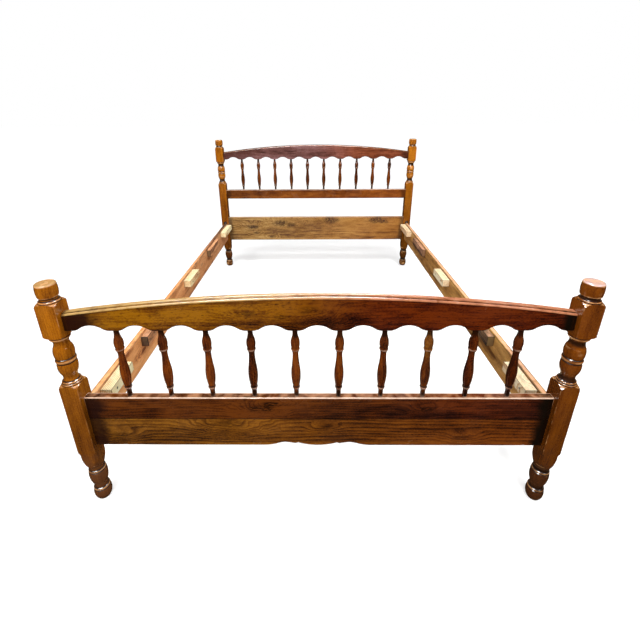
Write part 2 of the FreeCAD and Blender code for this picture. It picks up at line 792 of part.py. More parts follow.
def hook_plate(label, side, end):
    """A steel plate flush in the end of a rail, with hooks that turn down behind the
    catch plate. Its origin is in the rail's end face."""
    body = new_body(label)
    half_width = S["hook_plate_width"] / 2
    thickness = S["hook_plate_thickness"]
    top = hook_plate_bottom + hook_plate_height
    plate = draw(body, f"{label}_plate", "XZ_Plane",
                 [(-half_width, hook_plate_bottom, 0), (half_width, hook_plate_bottom, 0),
                  (half_width, top, 0), (-half_width, top, 0)])
    bind(plate, "AttachmentOffset.Base.z", thickness / 2 * end)
    slab(body, plate, thickness)
    low = slot_bottom + S["hook_rest_gap"]
    high = low + S["hook_shank_height"]
    tip = low - S["hook_nose_drop"]
    corner = S["hook_nose_thickness"] / 2
    bow = corner * QUARTER_BOW_SHARE
    profile = [
        (-thickness, low, 0),
        (nose_near, low, 0),
        (nose_near, tip, 0),
        (nose_far - corner, tip, 0),
        (nose_far, tip + corner, 0),
        (nose_far, high - corner, bow),
        (nose_far - corner, high, 0),
        (-thickness, high, 0),
    ]
    hook = [(u * end, z, Size.of(curve) * end) for u, z, curve in profile]
    pad = slab(body, draw(body, f"{label}_hook", "YZ_Plane", hook), S["hook_thickness"])
    repeat(body, pad, "Z_Axis", hook_pitch, HOOK_COUNT)
    for number, share in enumerate(PLATE_SCREW_SHARES):
        countersunk_bore(body, f"{label}_hole_{number}", aim_name("y", -end), NONE, NONE,
                         hook_plate_bottom + hook_plate_height * share,
                         S["plate_screw_width"], thickness + over)
    place(body, half_across * side, rail_half_length * end)
    return body


def hook_screws(label, side):
    """The screws that hold one rail's two hook plates."""
    screws = []
    for end_name, end in ENDS:
        for number, share in enumerate(PLATE_SCREW_SHARES):
            screws.append(screw(f"{label}_{end_name}_{number}", aim_name("y", -end), half_across * side,
                                rail_half_length * end, hook_plate_bottom + hook_plate_height * share,
                                S["plate_screw_width"], S["plate_screw_length"]))
    return screw_set(label, screws)


def catch_plate(label, side, end):
    """A steel plate with round ends, flush in the face of a post, with a slot for each
    hook. Its round upper end and screw show above the rail."""
    body = new_body(label)
    thickness = S["catch_thickness"]
    half_width = S["catch_width"] / 2
    slab(body, draw(body, f"{label}_outline", "XZ_Plane", stadium(half_width, catch_bottom, catch_top)),
         thickness)
    slot_half = slot_width / 2
    slot = box(body, "Subtractive", f"{label}_slot", (-slot_half, slot_half), (-thickness, thickness),
               (slot_bottom, slot_bottom + slot_height))
    repeat(body, slot, "Z_Axis", hook_pitch, HOOK_COUNT)
    for number, z in enumerate((catch_bottom + half_width, catch_top - half_width)):
        countersunk_bore(body, f"{label}_hole_{number}", aim_name("y", end), NONE, thickness / 2 * -end, z,
                         S["plate_screw_width"], thickness + over)
    place(body, half_across * side, (half_along - half_post + thickness / 2) * end)
    return body


def catch_screws(label):
    """The screws that hold the four catch plates to the posts."""
    screws = []
    for side_name, side in SIDES:
        for end_name, end in ENDS:
            for number, z in enumerate((catch_bottom + S["catch_width"] / 2, catch_top - S["catch_width"] / 2)):
                screws.append(screw(f"{label}_{side_name}_{end_name}_{number}", aim_name("y", end),
                                    half_across * side, (half_along - half_post) * end, z,
                                    S["plate_screw_width"], S["plate_screw_length"]))
    return screw_set(label, screws)


nodes = []
for end_name, end in ENDS:
    for side_name, side in SIDES:
        nodes.append(post(f"{end_name}_post_{side_name}", side, end))
    # the lower edge of the foot's spindle rail stays sharp where it meets the apron
    eased = BOARDS[end]["spindle_rail"] if end > 0 else [SPINDLE_RAIL_TOP[end]]
    spindle_rail = straight_board(f"{end_name}_spindle_rail", end, "spindle_rail", eased)
    spindle_bores(spindle_rail, f"{end_name}_spindle_rail", "down", SPINDLE_RAIL_TOP[end])
    nodes.append(spindle_rail)
    nodes.append(top_rail(f"{end_name}_top_rail", end))
    for number in range(1, SPINDLE_COUNT + 1):
        nodes.append(spindle(f"{end_name}_spindle_{number:02d}", end, number))
nodes.append(apron("foot_apron", -1))
nodes.append(straight_board("head_panel", 1, "lower", BOARDS[1]["lower"]))

for side_name, side in SIDES:
    nodes.append(side_rail(f"side_rail_{side_name}", side))
    for number, (name, kind) in enumerate(CLEATS, start=1):
        nodes.append(cleat(f"{side_name}_cleat_{number}", side, name, kind))
    nodes.append(cleat_screws(f"{side_name}_cleat_screws", side))
    nodes.append(hook_screws(f"{side_name}_hook_screws", side))
    for end_name, end in ENDS:
        nodes.append(hook_plate(f"{side_name}_{end_name}_hook_plate", side, end))
        nodes.append(catch_plate(f"{side_name}_{end_name}_catch_plate", side, end))
nodes.append(catch_screws("catch_plate_screws"))

doc.recompute()
for thing in doc.Objects:
    if {"Invalid", "Error"} & set(thing.State):
        raise RuntimeError(f"{thing.Name} failed: {thing.State}")
for node in nodes:
    if node.Shape.isNull() or not node.Shape.isValid():
        raise RuntimeError(f"{node.Label} has no sound shape")
for body in doc.findObjects("PartDesign::Body"):
    previous = None
    for feature in body.Group:
        if not feature.isDerivedFrom("PartDesign::Feature"):
            continue
        volume = feature.Shape.Volume
        if previous is not None and math.isclose(volume, previous, rel_tol=1e-9):
            raise RuntimeError(f"{feature.Name} changes nothing")
        previous = volume

os.makedirs("parts", exist_ok=True)
for node in nodes:
    node.Shape.exportStep(f"parts/{node.Label}.step")
print(f"{len(nodes)} sub-parts, {sum(len(node.Shape.Solids) for node in nodes)} solids")
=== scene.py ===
# %% [markdown]
# # A poster bed with turned posts
# The bed is two ends, head and foot, held apart by two rails that hook into the posts. The frame that is
# loaded here already holds every piece at its real size. This lesson dresses it: each wooden piece is
# modelled again with rounded arrises and crisp turnings, and gets a varnish that shows grain, wear and
# grime, with painted shade in its grooves, hollows, edges and ends and painted highlights on beads and tops.

# %% Load the frame
import json
import math

import bmesh
import bpy
from mathutils import Matrix, Vector


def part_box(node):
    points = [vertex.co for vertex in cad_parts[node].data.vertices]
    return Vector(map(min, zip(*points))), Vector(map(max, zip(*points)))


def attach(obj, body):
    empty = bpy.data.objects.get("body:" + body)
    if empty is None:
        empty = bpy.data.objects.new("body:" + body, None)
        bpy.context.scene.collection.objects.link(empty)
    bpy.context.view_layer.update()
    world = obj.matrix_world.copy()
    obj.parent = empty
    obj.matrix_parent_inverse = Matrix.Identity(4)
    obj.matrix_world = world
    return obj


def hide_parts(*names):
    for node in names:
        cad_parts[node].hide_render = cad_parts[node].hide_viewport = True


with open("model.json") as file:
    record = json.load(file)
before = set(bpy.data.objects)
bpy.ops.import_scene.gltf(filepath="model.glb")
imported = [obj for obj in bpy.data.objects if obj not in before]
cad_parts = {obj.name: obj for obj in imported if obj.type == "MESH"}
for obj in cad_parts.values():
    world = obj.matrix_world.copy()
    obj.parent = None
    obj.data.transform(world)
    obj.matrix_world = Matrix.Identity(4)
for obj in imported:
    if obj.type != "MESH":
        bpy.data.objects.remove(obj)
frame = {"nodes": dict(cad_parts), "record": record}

MM = 0.001
SIDES = ("left", "right")
ENDS = ("foot", "head")
NODE_BODY = {node: body for body, nodes in frame["record"]["behaviour"]["bodies"].items() for node in nodes}
NODE_SLOT = {row["node"]: row["material_slot"] for row in frame["record"]["subparts"]}
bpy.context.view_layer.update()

# %% [markdown]
# ## Camera
# The bed was photographed close to its foot, with a wide lens that looked a little down. A camera could be
# aimed by hand, but the picture was also cropped off centre, so the lens is shifted instead: that keeps the
# upright posts leaning outwards exactly as a wide lens draws them.

# %% Camera
PICTURE = 640
FOCAL_PIXELS = 375.03
PICTURE_CENTRE = (311.13, 253.65)
CAMERA_PLACE = Vector((-5.5, -1868.2, 1191.2)) * MM
YAW, PITCH, ROLL = -0.01146, 0.36564, -0.00706
SENSOR_WIDTH = 36


def add_object(name, data):
    """An object that shows the data, in the scene."""
    made = bpy.data.objects.new(name, data)
    bpy.context.scene.collection.objects.link(made)
    return made


ahead = Vector((math.sin(YAW) * math.cos(PITCH), math.cos(YAW) * math.cos(PITCH), -math.sin(PITCH)))
level = Vector((math.cos(YAW), -math.sin(YAW), 0))
rising = level.cross(ahead)
across = level * math.cos(ROLL) + rising * math.sin(ROLL)
up = rising * math.cos(ROLL) - level * math.sin(ROLL)

lens = bpy.data.cameras.new("camera")
lens.sensor_width = SENSOR_WIDTH
lens.lens = FOCAL_PIXELS * SENSOR_WIDTH / PICTURE
lens.shift_x = 0.5 - PICTURE_CENTRE[0] / PICTURE
lens.shift_y = PICTURE_CENTRE[1] / PICTURE - 0.5
camera = add_object("camera", lens)
camera.matrix_world = Matrix.Translation(CAMERA_PLACE) @ Matrix((across, up, -ahead)).transposed().to_4x4()
bpy.context.scene.camera = camera
print("camera lens", round(lens.lens, 2), "mm")

# %% [markdown]
# ## Wiring nodes
# A finish is a tree of shader nodes. It could be wired by hand in the shader editor, but a script can be
# read and run again, so a small class adds nodes and wires them by the names of their sockets. Colours are
# given as screen values. Shaders count in light, so each colour is turned into that first.

# %% Node helpers
WHITE = (1.0, 1.0, 1.0, 1.0)
BLACK = (0.0, 0.0, 0.0, 1.0)


def new_group(name, inputs, outputs):
    """A shader node group with its named sockets, its input and output nodes."""
    group = bpy.data.node_groups.new(name, "ShaderNodeTree")
    for label, (kind, value) in inputs.items():
        socket = group.interface.new_socket(label, in_out="INPUT", socket_type=f"NodeSocket{kind}")
        if value is not None:
            socket.default_value = value
    for label, kind in outputs.items():
        group.interface.new_socket(label, in_out="OUTPUT", socket_type=f"NodeSocket{kind}")
    return group, group.nodes.new("NodeGroupInput").outputs, group.nodes.new("NodeGroupOutput").inputs


class Sheet:
    """Short ways to add nodes to one node tree and wire them up."""

    def __init__(self, tree):
        self.tree = tree

    def set(self, socket, value):
        if isinstance(value, bpy.types.NodeSocket):
            self.tree.links.new(value, socket)
        else:
            socket.default_value = value

    def fill(self, sockets, values):
        """Sets sockets by their names."""
        for label, value in values.items():
            self.set(sockets[label], value)

    def use(self, group, values, **wires):
        """Places a node group. Gives its outputs."""
        node = self.tree.nodes.new("ShaderNodeGroup")
        node.node_tree = group
        self.fill(node.inputs, {**values, **wires})
        return node.outputs

    def add(self, kind, **inputs):
        node = self.tree.nodes.new(f"ShaderNode{kind}")
        for label, value in inputs.items():
            self.set(node.inputs[label.replace("_", " ")], value)
        return node

    def math(self, operation, *values):
        node = self.tree.nodes.new("ShaderNodeMath")
        node.operation = operation
        for socket, value in zip(node.inputs, values):
            self.set(socket, value)
        return node.outputs[0]

    def vector(self, operation, *values):
        node = self.tree.nodes.new("ShaderNodeVectorMath")
        node.operation = operation
        for socket, value in zip(node.inputs, values):
            self.set(socket, value)
        return node.outputs["Value" if operation == "LENGTH" else "Vector"]

    def noise(self, vector, scale, detail=2.0, output="Fac"):
        """Noise with its own scale along each axis, or one scale for all."""
        if isinstance(scale, tuple):
            vector = self.vector("MULTIPLY", vector, scale)
            scale = 1.0
        return self.add("TexNoise", Vector=vector, Scale=scale, Detail=detail).outputs[output]

    def ramp(self, value, low, high):
        node = self.add("MapRange", Value=value, From_Min=low, From_Max=high)
        node.interpolation_type = "SMOOTHSTEP"
        return node.outputs["Result"]

    def swing(self, value, middle=0.5):
        """How far a value is from its middle, up or down."""
        return self.math("SUBTRACT", value, middle)

    def invert(self, value):
        return self.math("SUBTRACT", 1.0, value)

    def mix(self, factor, first, second, blend="MIX"):
        node = self.tree.nodes.new("ShaderNodeMix")
        node.data_type = "RGBA"
        node.blend_type = blend
        colours = [socket for socket in node.inputs if socket.type == "RGBA"]
        for socket, value in zip((node.inputs["Factor"], *colours), (factor, first, second)):
            self.set(socket, value)
        return next(socket for socket in node.outputs if socket.type == "RGBA")


def colour(red, green, blue):
    """A colour given in screen values, as the linear value that shaders use."""
    def linear(part):
        part /= 255
        return part / 12.92 if part <= 0.04045 else ((part + 0.055) / 1.055) ** 2.4
    return (linear(red), linear(green), linear(blue), 1.0)


def new_material(name):
    """A material, its sheet and the inputs of its shader."""
    material = bpy.data.materials.new(name)
    material.use_nodes = True
    return material, Sheet(material.node_tree), material.node_tree.nodes["Principled BSDF"].inputs


print("screen grey 128 is", round(colour(128, 128, 128)[0], 3), "in light")

# %% [markdown]
# ## Floor and light
# The bed stands on a plain pale floor in soft light. A white room could light it alone, but dark varnish
# shows what it mirrors, so that room would wash its colour out. Floor and sky therefore only give soft
# light, the varnish mirrors a dim brown room, and one broad even light comes from above. Three round lamps
# light the bed as in a studio, and two more only put glints on the varnish. The standard view transform
# keeps the browns warm.

# %% Floor
FLOOR_HALF, FLOOR_SQUARES = 30.0, 8
FLOOR_MOTTLE, FLOOR_DARKEST, FLOOR_PALEST = 1.5, 0.93, 0.96
FLOOR_ROUGHNESS, FLOOR_GLOW = 0.9, 0.16


def floor_material():
    material, s, shader = new_material("pale_floor")
    mottle = s.add("TexNoise", Scale=FLOOR_MOTTLE).outputs["Fac"]
    tone = s.add("MapRange", Value=mottle, To_Min=FLOOR_DARKEST, To_Max=FLOOR_PALEST).outputs["Result"]
    s.fill(shader, {"Base Color": tone, "Roughness": FLOOR_ROUGHNESS, "Specular IOR Level": 0.0,
                    "Emission Color": WHITE, "Emission Strength": FLOOR_GLOW})
    return material


ground = bmesh.new()
bmesh.ops.create_grid(ground, x_segments=FLOOR_SQUARES, y_segments=FLOOR_SQUARES, size=FLOOR_HALF)
floor_mesh = bpy.data.meshes.new("floor")
ground.to_mesh(floor_mesh)
ground.free()
floor_mesh.materials.append(floor_material())
floor = add_object("floor", floor_mesh)
floor.visible_glossy = False
floor.visible_diffuse = False
print("floor", 2 * FLOOR_HALF, "m wide")

# %% Light
SKY_LIGHT = 0.55
DIM_ROOM = (0.07, 0.04, 0.02, 1.0)
SUN_LIGHT, SUN_SPREAD = 1.5, math.radians(50)
SUN_TURN = (math.radians(38), math.radians(-8), 0)
# where a lamp stands and what it is aimed at, its width, its power, and whether it only makes glints
LAMPS = {
    "left_lamp": ((-1.7, -2.6, 2.6), (0.0, -0.6, 0.5), 0.6, 34, False),
    "right_lamp": ((2.0, -2.3, 2.4), (0.0, -0.6, 0.5), 0.5, 18, False),
    "head_lamp": ((0.7, -0.4, 2.8), (-0.3, 0.6, 0.5), 0.6, 34, False),
    "front_glint": ((-0.85, -2.4, 3.2), (-0.1, -0.9, 0.5), 1.2, 220, True),
    "head_glint": ((0.3, -0.2, 3.4), (0.0, 1.0, 0.6), 1.3, 200, True),
}

sky = bpy.data.worlds.new("studio")
sky.use_nodes = True
s = Sheet(sky.node_tree)
ray = s.add("LightPath").outputs
strength = s.add("MapRange", Value=ray["Is Camera Ray"], To_Min=SKY_LIGHT, To_Max=1.0).outputs["Result"]
room = s.mix(ray["Is Glossy Ray"], WHITE, DIM_ROOM)
s.fill(sky.node_tree.nodes["Background"].inputs, {"Color": room, "Strength": strength})
bpy.context.scene.world = sky
bpy.context.scene.view_settings.view_transform = "Standard"

for name, (place, target, width, power, only_glints) in LAMPS.items():
    light = bpy.data.lights.new(name, "AREA")
    light.shape = "DISK"
    light.size = width
    light.energy = power
    lamp = add_object(name, light)
    lamp.location = place
    lamp.rotation_mode = "QUATERNION"
    lamp.rotation_quaternion = (Vector(target) - Vector(place)).to_track_quat("-Z", "Y")
    lamp.visible_diffuse = not only_glints
noon = bpy.data.lights.new("even_light", "SUN")
noon.energy = SUN_LIGHT
noon.angle = SUN_SPREAD
sun = add_object("even_light", noon)
sun.rotation_euler = SUN_TURN
sun.visible_glossy = False
print("lamps", len(LAMPS), "and one even light")

# %% [markdown]
# ## Shader groups
# Every board shares the same few effects, so each is built once as a node group. `timber` is solid wood:
# growth rings round the heart of the tree, bent by noise, so a face shows figure and an end shows end
# grain. `knot` swirls those rings round one branch. `stain` lets the colour drift along a board and change
# at its ends: there the finish was rubbed or scuffed, the end grain shows, a pale cap top is partly a
# painted highlight, or a dark band paints the shade beside the post or rail that the piece meets. `wear`
# reads how far a point stands out of the surface: beads and arrises rub pale, the highest of them partly
# as a painted highlight, and grooves and hollows darken with dirt and painted shade.

# %% Timber
def timber_group():
    """Solid wood with its grain along X and the heart of the tree on the X axis."""
    group, given, made = new_group(
        "timber",
        {"Vector": ("Vector", None), "Pale": ("Color", None), "Middle": ("Color", None),
         "Dark": ("Color", None), "Ring Spacing": ("Float", 0.006), "Waviness": ("Float", 0.012),
         "Figure": ("Float", 0.5), "Blotches": ("Float", 0.5), "Streaks": ("Float", 0.8),
         "Flecks": ("Float", 0.4), "Swirl": ("Float", 0.0), "Heart": ("Float", 0.0)},
        {"Color": "Color", "Height": "Float"})
    s = Sheet(group)
    place = given["Vector"]
    bend = s.vector("SUBTRACT", s.noise(place, (2.1, 11.2, 11.2), 2.0, "Color"), (0.5, 0.5, 0.5))
    sway = s.add("CombineXYZ", Y=given["Waviness"], Z=given["Waviness"]).outputs["Vector"]
    bent = s.vector("MULTIPLY_ADD", bend, sway, s.vector("MULTIPLY", place, (0.0, 1.0, 1.0)))
    reach = s.math("ADD", s.vector("LENGTH", bent), given["Swirl"])
    ring = s.math("FRACT", s.math("DIVIDE", reach, given["Ring Spacing"]))
    late_wood = s.math("MULTIPLY", s.ramp(ring, 0.25, 0.9), s.invert(s.ramp(ring, 0.93, 1.0)))
    blotch = s.ramp(s.noise(place, (2.4, 16.0, 16.0), 4.0), 0.25, 0.75)
    mottle = s.ramp(s.noise(place, (17.0, 60.0, 60.0), 4.0), 0.25, 0.75)
    streak = s.noise(place, (4.0, 110.0, 110.0), 3.0)
    fibre = s.noise(place, (9.0, 330.0, 330.0), 3.0)
    fleck = s.ramp(s.noise(place, (60.0, 300.0, 300.0), 2.0), 0.58, 0.72)
    pore = s.invert(s.ramp(s.noise(place, (60.0, 1500.0, 1500.0), 1.0), 0.30, 0.40))
    cloudy = s.math("MULTIPLY_ADD", s.swing(mottle), 0.6, s.swing(blotch))
    depth = s.math("MULTIPLY_ADD", cloudy, given["Blotches"], 0.5)
    depth = s.math("MULTIPLY_ADD", s.swing(late_wood, 0.3), given["Figure"], depth)
    strands = s.math("MULTIPLY_ADD", s.swing(fibre), 0.7, s.swing(streak))
    depth = s.math("MULTIPLY_ADD", strands, given["Streaks"], depth)
    depth = s.math("MULTIPLY_ADD", s.swing(s.noise(place, (190.0, 420.0, 420.0), 2.0)), 0.9, depth)
    wood = s.mix(s.ramp(depth, 0.05, 0.65), given["Pale"], given["Middle"])
    wood = s.mix(s.ramp(depth, 0.5, 1.1), wood, given["Dark"])
    marks = s.math("MAXIMUM", s.math("MULTIPLY", fleck, given["Flecks"]), s.math("MULTIPLY", pore, 0.3))
    wood = s.mix(marks, wood, given["Dark"])
    heart = s.mix(0.7, given["Dark"], BLACK)
    wood = s.mix(s.math("MULTIPLY", given["Heart"], 0.9), wood, heart)
    s.set(made["Color"], wood)
    height = s.math("MULTIPLY_ADD", pore, -0.5, s.math("MULTIPLY", fibre, 0.6))
    s.set(made["Height"], s.math("MULTIPLY_ADD", late_wood, 0.15, height))
    return group


TIMBER = timber_group()
print("group", TIMBER.name, len(TIMBER.nodes), "nodes")


# %% Knot
def knot_group():
    """One knot: rings swirl round it and its heart is dark. Stretch is zero along the branch that made
    it."""
    group, given, made = new_group(
        "knot",
        {"Vector": ("Vector", None), "Centre": ("Vector", None), "Size": ("Float", 0.02),
         "Stretch": ("Vector", (0.4, 0.0, 1.0)), "Darkness": ("Float", 0.5)},
        {"Swirl": "Float", "Heart": "Float"})
    s = Sheet(group)
    away = s.vector("MULTIPLY", s.vector("SUBTRACT", given["Vector"], given["Centre"]), given["Stretch"])
    wobble = s.swing(s.noise(given["Vector"], 32.0, 1.0))
    far = s.math("ADD", s.math("DIVIDE", s.vector("LENGTH", away), given["Size"]), wobble)
    near = s.invert(s.ramp(far, 0.1, 3.0))
    s.set(made["Swirl"], s.math("MULTIPLY", s.math("MULTIPLY", near, given["Size"]), 2.2))
    torn = s.ramp(s.noise(given["Vector"], (70.0, 200.0, 260.0), 2.0), 0.36, 0.52)
    heart = s.math("MULTIPLY", s.invert(s.ramp(far, 0.3, 1.2)), torn)
    s.set(made["Heart"], s.math("MULTIPLY", heart, given["Darkness"]))
    return group


KNOT = knot_group()
print("group", KNOT.name, len(KNOT.nodes), "nodes")


# %% Stain
def stain_group():
    """Colour drift along a piece, and another colour at each of its ends, by the place along the grain."""
    inputs = {"Color": ("Color", None), "Vector": ("Vector", None),
              "Drift From": ("Float", -0.68), "Drift To": ("Float", 0.68),
              "From Tint": ("Color", (1, 1, 1, 1)), "To Tint": ("Color", (1, 1, 1, 1))}
    for end in ("Start", "End"):
        inputs[end] = ("Float", 0.0)
        inputs[f"{end} Reach"] = ("Float", 0.05)
        inputs[f"{end} Shade"] = ("Color", (0.004, 0.002, 0.001, 1))
        inputs[f"{end} Amount"] = ("Float", 0.0)
    group, given, made = new_group("stain", inputs, {"Color": "Color"})
    s = Sheet(group)
    along = s.add("SeparateXYZ", Vector=given["Vector"]).outputs["X"]
    uneven = s.swing(s.noise(given["Vector"], 22.0, 4.0))
    drift = s.ramp(along, given["Drift From"], given["Drift To"])
    tone = s.mix(1.0, given["Color"], s.mix(drift, given["From Tint"], given["To Tint"]), "MULTIPLY")
    for end, sign in (("Start", 1.0), ("End", -1.0)):
        inside = s.math("MULTIPLY", s.math("SUBTRACT", along, given[end]), sign)
        inside = s.math("ADD", s.math("DIVIDE", inside, given[f"{end} Reach"]), uneven)
        amount = s.math("MULTIPLY", s.invert(s.ramp(inside, 0.4, 1.0)), given[f"{end} Amount"])
        tone = s.mix(amount, tone, given[f"{end} Shade"])
    s.set(made["Color"], tone)
    return group


STAIN = stain_group()
print("group", STAIN.name, len(STAIN.nodes), "nodes")


# %% Wear
def wear_group():
    """Rubbed beads and arrises, paler still where a highlight is painted; dirt and painted shade in
    grooves, dark specks, small dents, and the gloss that follows them.
    """
    group, given, made = new_group(
        "wear",
        {"Color": ("Color", None), "Vector": ("Vector", None), "Relief": ("Float", 0.0),
         "Rubbed": ("Color", None), "Rubbing": ("Float", 0.6), "Bare And Highlight": ("Color", (0.82, 0.62, 0.48, 1)),
         "Dirt": ("Color", None), "Dirtiness": ("Float", 0.8),
         "Gloss Low": ("Float", 0.22), "Gloss High": ("Float", 0.42)},
        {"Color": "Color", "Roughness": "Float", "Height": "Float"})
    s = Sheet(group)
    place = given["Vector"]
    patch = s.swing(s.noise(place, 42.0, 4.0))
    rub = s.math("MULTIPLY_ADD", patch, 1.3, given["Relief"])
    rub = s.math("MULTIPLY", s.ramp(rub, 0.4, 1.0), given["Rubbing"])
    # below zero relief: dirt, and painted shade in quirks, hollows and under edges
    groove_dirt_and_shade = s.math("MULTIPLY_ADD", patch, 0.35, given["Relief"])
    groove_dirt_and_shade = s.math("MULTIPLY", s.ramp(groove_dirt_and_shade, -0.08, -0.55), given["Dirtiness"])
    speck = s.ramp(s.noise(place, 230.0, 2.0), 0.68, 0.76)
    dent = s.ramp(s.noise(place, 65.0, 2.0), 0.70, 0.78)
    # relief above 1 goes paler than rubbed: bare wood and a painted highlight on the upper arrises
    bare_and_highlight = s.math("MULTIPLY_ADD", patch, 0.8, given["Relief"])
    worn = s.mix(rub, given["Color"], s.mix(s.ramp(bare_and_highlight, 1.0, 1.5), given["Rubbed"], given["Bare And Highlight"]))
    worn = s.mix(s.math("MULTIPLY", speck, 0.45), worn, given["Dirt"])
    worn = s.mix(groove_dirt_and_shade, worn, given["Dirt"])
    s.set(made["Color"], worn)
    cloud = s.ramp(s.noise(place, 9.0, 4.0), 0.3, 0.7)
    span = s.math("SUBTRACT", given["Gloss High"], given["Gloss Low"])
    rough = s.math("MULTIPLY_ADD", cloud, span, given["Gloss Low"])
    s.set(made["Roughness"], s.math("MULTIPLY_ADD", s.math("ADD", rub, groove_dirt_and_shade), 0.15, rough))
    s.set(made["Height"], s.math("MULTIPLY", dent, -1.0))
    return group


WEAR = wear_group()
print("group", WEAR.name, len(WEAR.nodes), "nodes")

# %% [markdown]
# ## Wood finishes
# A finish is one material: Object coordinates are turned so that the grain lies along the piece, then run
# through the groups into one varnish shader. All pieces share these few lines and differ only in their
# values.

# %% Finish recipe
GRAIN_TURNS = {"x": (0, 0, 0), "y": (0, 0, -math.pi / 2), "z": (0, math.pi / 2, 0)}
# the colour of dirt, also used as painted shade in quirks, hollows and lower edges
DIRT_AND_SHADE = colour(22, 8, 3)
COAT_ROUGHNESS = 0.08
DENT_STRENGTH, DENT_DEPTH, FIBRE_DEPTH = 0.35, 0.6 * MM, 0.35 * MM


def wood_finish(name, grain, heart, timber, stain, wear, knots=(), rub_drift=None, *, coat, specular=0.35,
                bump=0.25):
    """A varnished or raw wood. grain is the axis it runs along, and heart where the tree's middle is, seen
    from the piece, once the grain is turned to X. rub_drift is a stain for the rubbed colour alone."""
    material, s, shader = new_material(name)
    object_place = s.add("TexCoord").outputs["Object"]
    turned = s.add("Mapping", Vector=object_place, Rotation=GRAIN_TURNS[grain]).outputs["Vector"]
    offset = s.add("Mapping", Vector=turned, Location=heart).outputs["Vector"]
    swirl, dark_heart = 0.0, 0.0
    for knot in knots:
        branch = s.use(KNOT, knot, Vector=turned)
        swirl = s.math("ADD", branch["Swirl"], swirl)
        dark_heart = s.math("MAXIMUM", branch["Heart"], dark_heart)
    wood = s.use(TIMBER, timber, Vector=offset, Swirl=swirl, Heart=dark_heart)
    tone = s.use(STAIN, stain, Color=wood["Color"], Vector=turned)["Color"] if stain else wood["Color"]
    rubbed = wear["Rubbed"]
    if rub_drift:
        rubbed = s.use(STAIN, rub_drift, Color=rubbed, Vector=turned)["Color"]
    relief = s.add("Attribute")
    relief.attribute_name = "relief"
    skin = s.use(WEAR, wear, Color=tone, Vector=object_place, Relief=relief.outputs["Fac"], Rubbed=rubbed,
                 Dirt=DIRT_AND_SHADE)
    dents = s.add("Bump", Strength=DENT_STRENGTH, Distance=DENT_DEPTH, Height=skin["Height"])
    fibres = s.add("Bump", Strength=bump, Distance=FIBRE_DEPTH, Height=wood["Height"],
                   Normal=dents.outputs["Normal"])
    s.fill(shader, {"Base Color": skin["Color"], "Roughness": skin["Roughness"],
                    "Normal": fibres.outputs["Normal"], "Specular IOR Level": specular, "Coat Weight": coat,
                    "Coat Roughness": COAT_ROUGHNESS})
    return material


def face_knots(*places, darkness=0.5):
    """Knots that show on the broad faces of a board, each from its place along the grain, height and
    size."""
    return [{"Centre": (along, 0, height), "Size": size, "Darkness": darkness}
            for along, height, size in places]


print("grain can run along", ", ".join(GRAIN_TURNS))

# %% [markdown]
# ## Helpers for shapes
# Turned pieces are drawn as half an outline and spun; boards are boxes or drawn outlines that are extruded.
# Either way the vertices carry a `relief` value, from -1 in a groove to 1 on a bead or arris, which the
# wear group reads.

# %% Outlines and finished pieces
MERGE = 1e-6
SHARP_TURN = math.radians(32)
FLAT_TURN = math.radians(5)
FLAT = 0.9999


def blank():
    """An empty bmesh whose vertices carry the relief that the wear group reads."""
    bm = bmesh.new()
    return bm, bm.verts.layers.float.new("relief")


def only(kind, parts):
    return [part for part in parts if isinstance(part, kind)]


def saw(bm, place, normal, clear_outer=False):
    """Cuts a bmesh along a plane. Gives what lies on the cut."""
    everything = bm.verts[:] + bm.edges[:] + bm.faces[:]
    return bmesh.ops.bisect_plane(bm, geom=everything, plane_co=place, plane_no=normal, dist=MERGE,
                                  clear_outer=clear_outer)["geom_cut"]


def bowed_path(corners, step):
    """Points through corners of (u, v, bow). A bow makes the stretch to the next corner an arc that swells
    by that much to the right of the way along."""
    points = []
    for (u, v, bow), (next_u, next_v, _) in zip(corners, corners[1:]):
        start = Vector((u, v))
        run = Vector((next_u, next_v)) - start
        points.append(start)
        if not bow:
            continue
        along = run.normalized()
        right = Vector((along.y, -along.x)) * math.copysign(1, bow)
        half_turn = 2 * math.atan(2 * abs(bow) / run.length)
        radius = run.length / 2 / math.sin(half_turn)
        pieces = max(2, math.ceil(2 * half_turn * radius / step))
        for n in range(1, pieces):
            angle = half_turn * (2 * n / pieces - 1)
            swell = radius * (math.cos(angle) - math.cos(half_turn))
            points.append(start + run / 2 + along * radius * math.sin(angle) + right * swell)
    points.append(Vector(corners[-1][:2]))
    return points


def finish_piece(bm, name, node, material, crisp_flats=False):
    """Makes the bmesh an object that stands for a node and rides its body. Crisp flats keep
    the light off the curved faces that run into them."""
    bmesh.ops.remove_doubles(bm, verts=bm.verts[:], dist=MERGE)
    bmesh.ops.recalc_face_normals(bm, faces=bm.faces[:])
    for face in bm.faces:
        face.smooth = not crisp_flats or max(map(abs, face.normal)) < FLAT
    for edge in bm.edges:
        rims_flat = not all(face.smooth for face in edge.link_faces)
        edge.smooth = edge.calc_face_angle(0) < (FLAT_TURN if rims_flat else SHARP_TURN)
    mesh = bpy.data.meshes.new(name)
    bm.to_mesh(mesh)
    bm.free()
    mesh.materials.append(material)
    piece = add_object(name, mesh)
    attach(piece, NODE_BODY[node])
    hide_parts(node)
    return piece


def fade_flats(bm, relief, flats, band):
    """A band round each flat face, so that wear on its arris fades out before the middle."""
    bmesh.ops.inset_individual(bm, faces=flats, thickness=band, use_even_offset=True)
    for face in flats:
        for vert in face.verts:
            vert[relief] = 0.0


print("a half circle has", len(bowed_path([(0, 0, 1), (0, 2, 0)], 0.1)), "points")


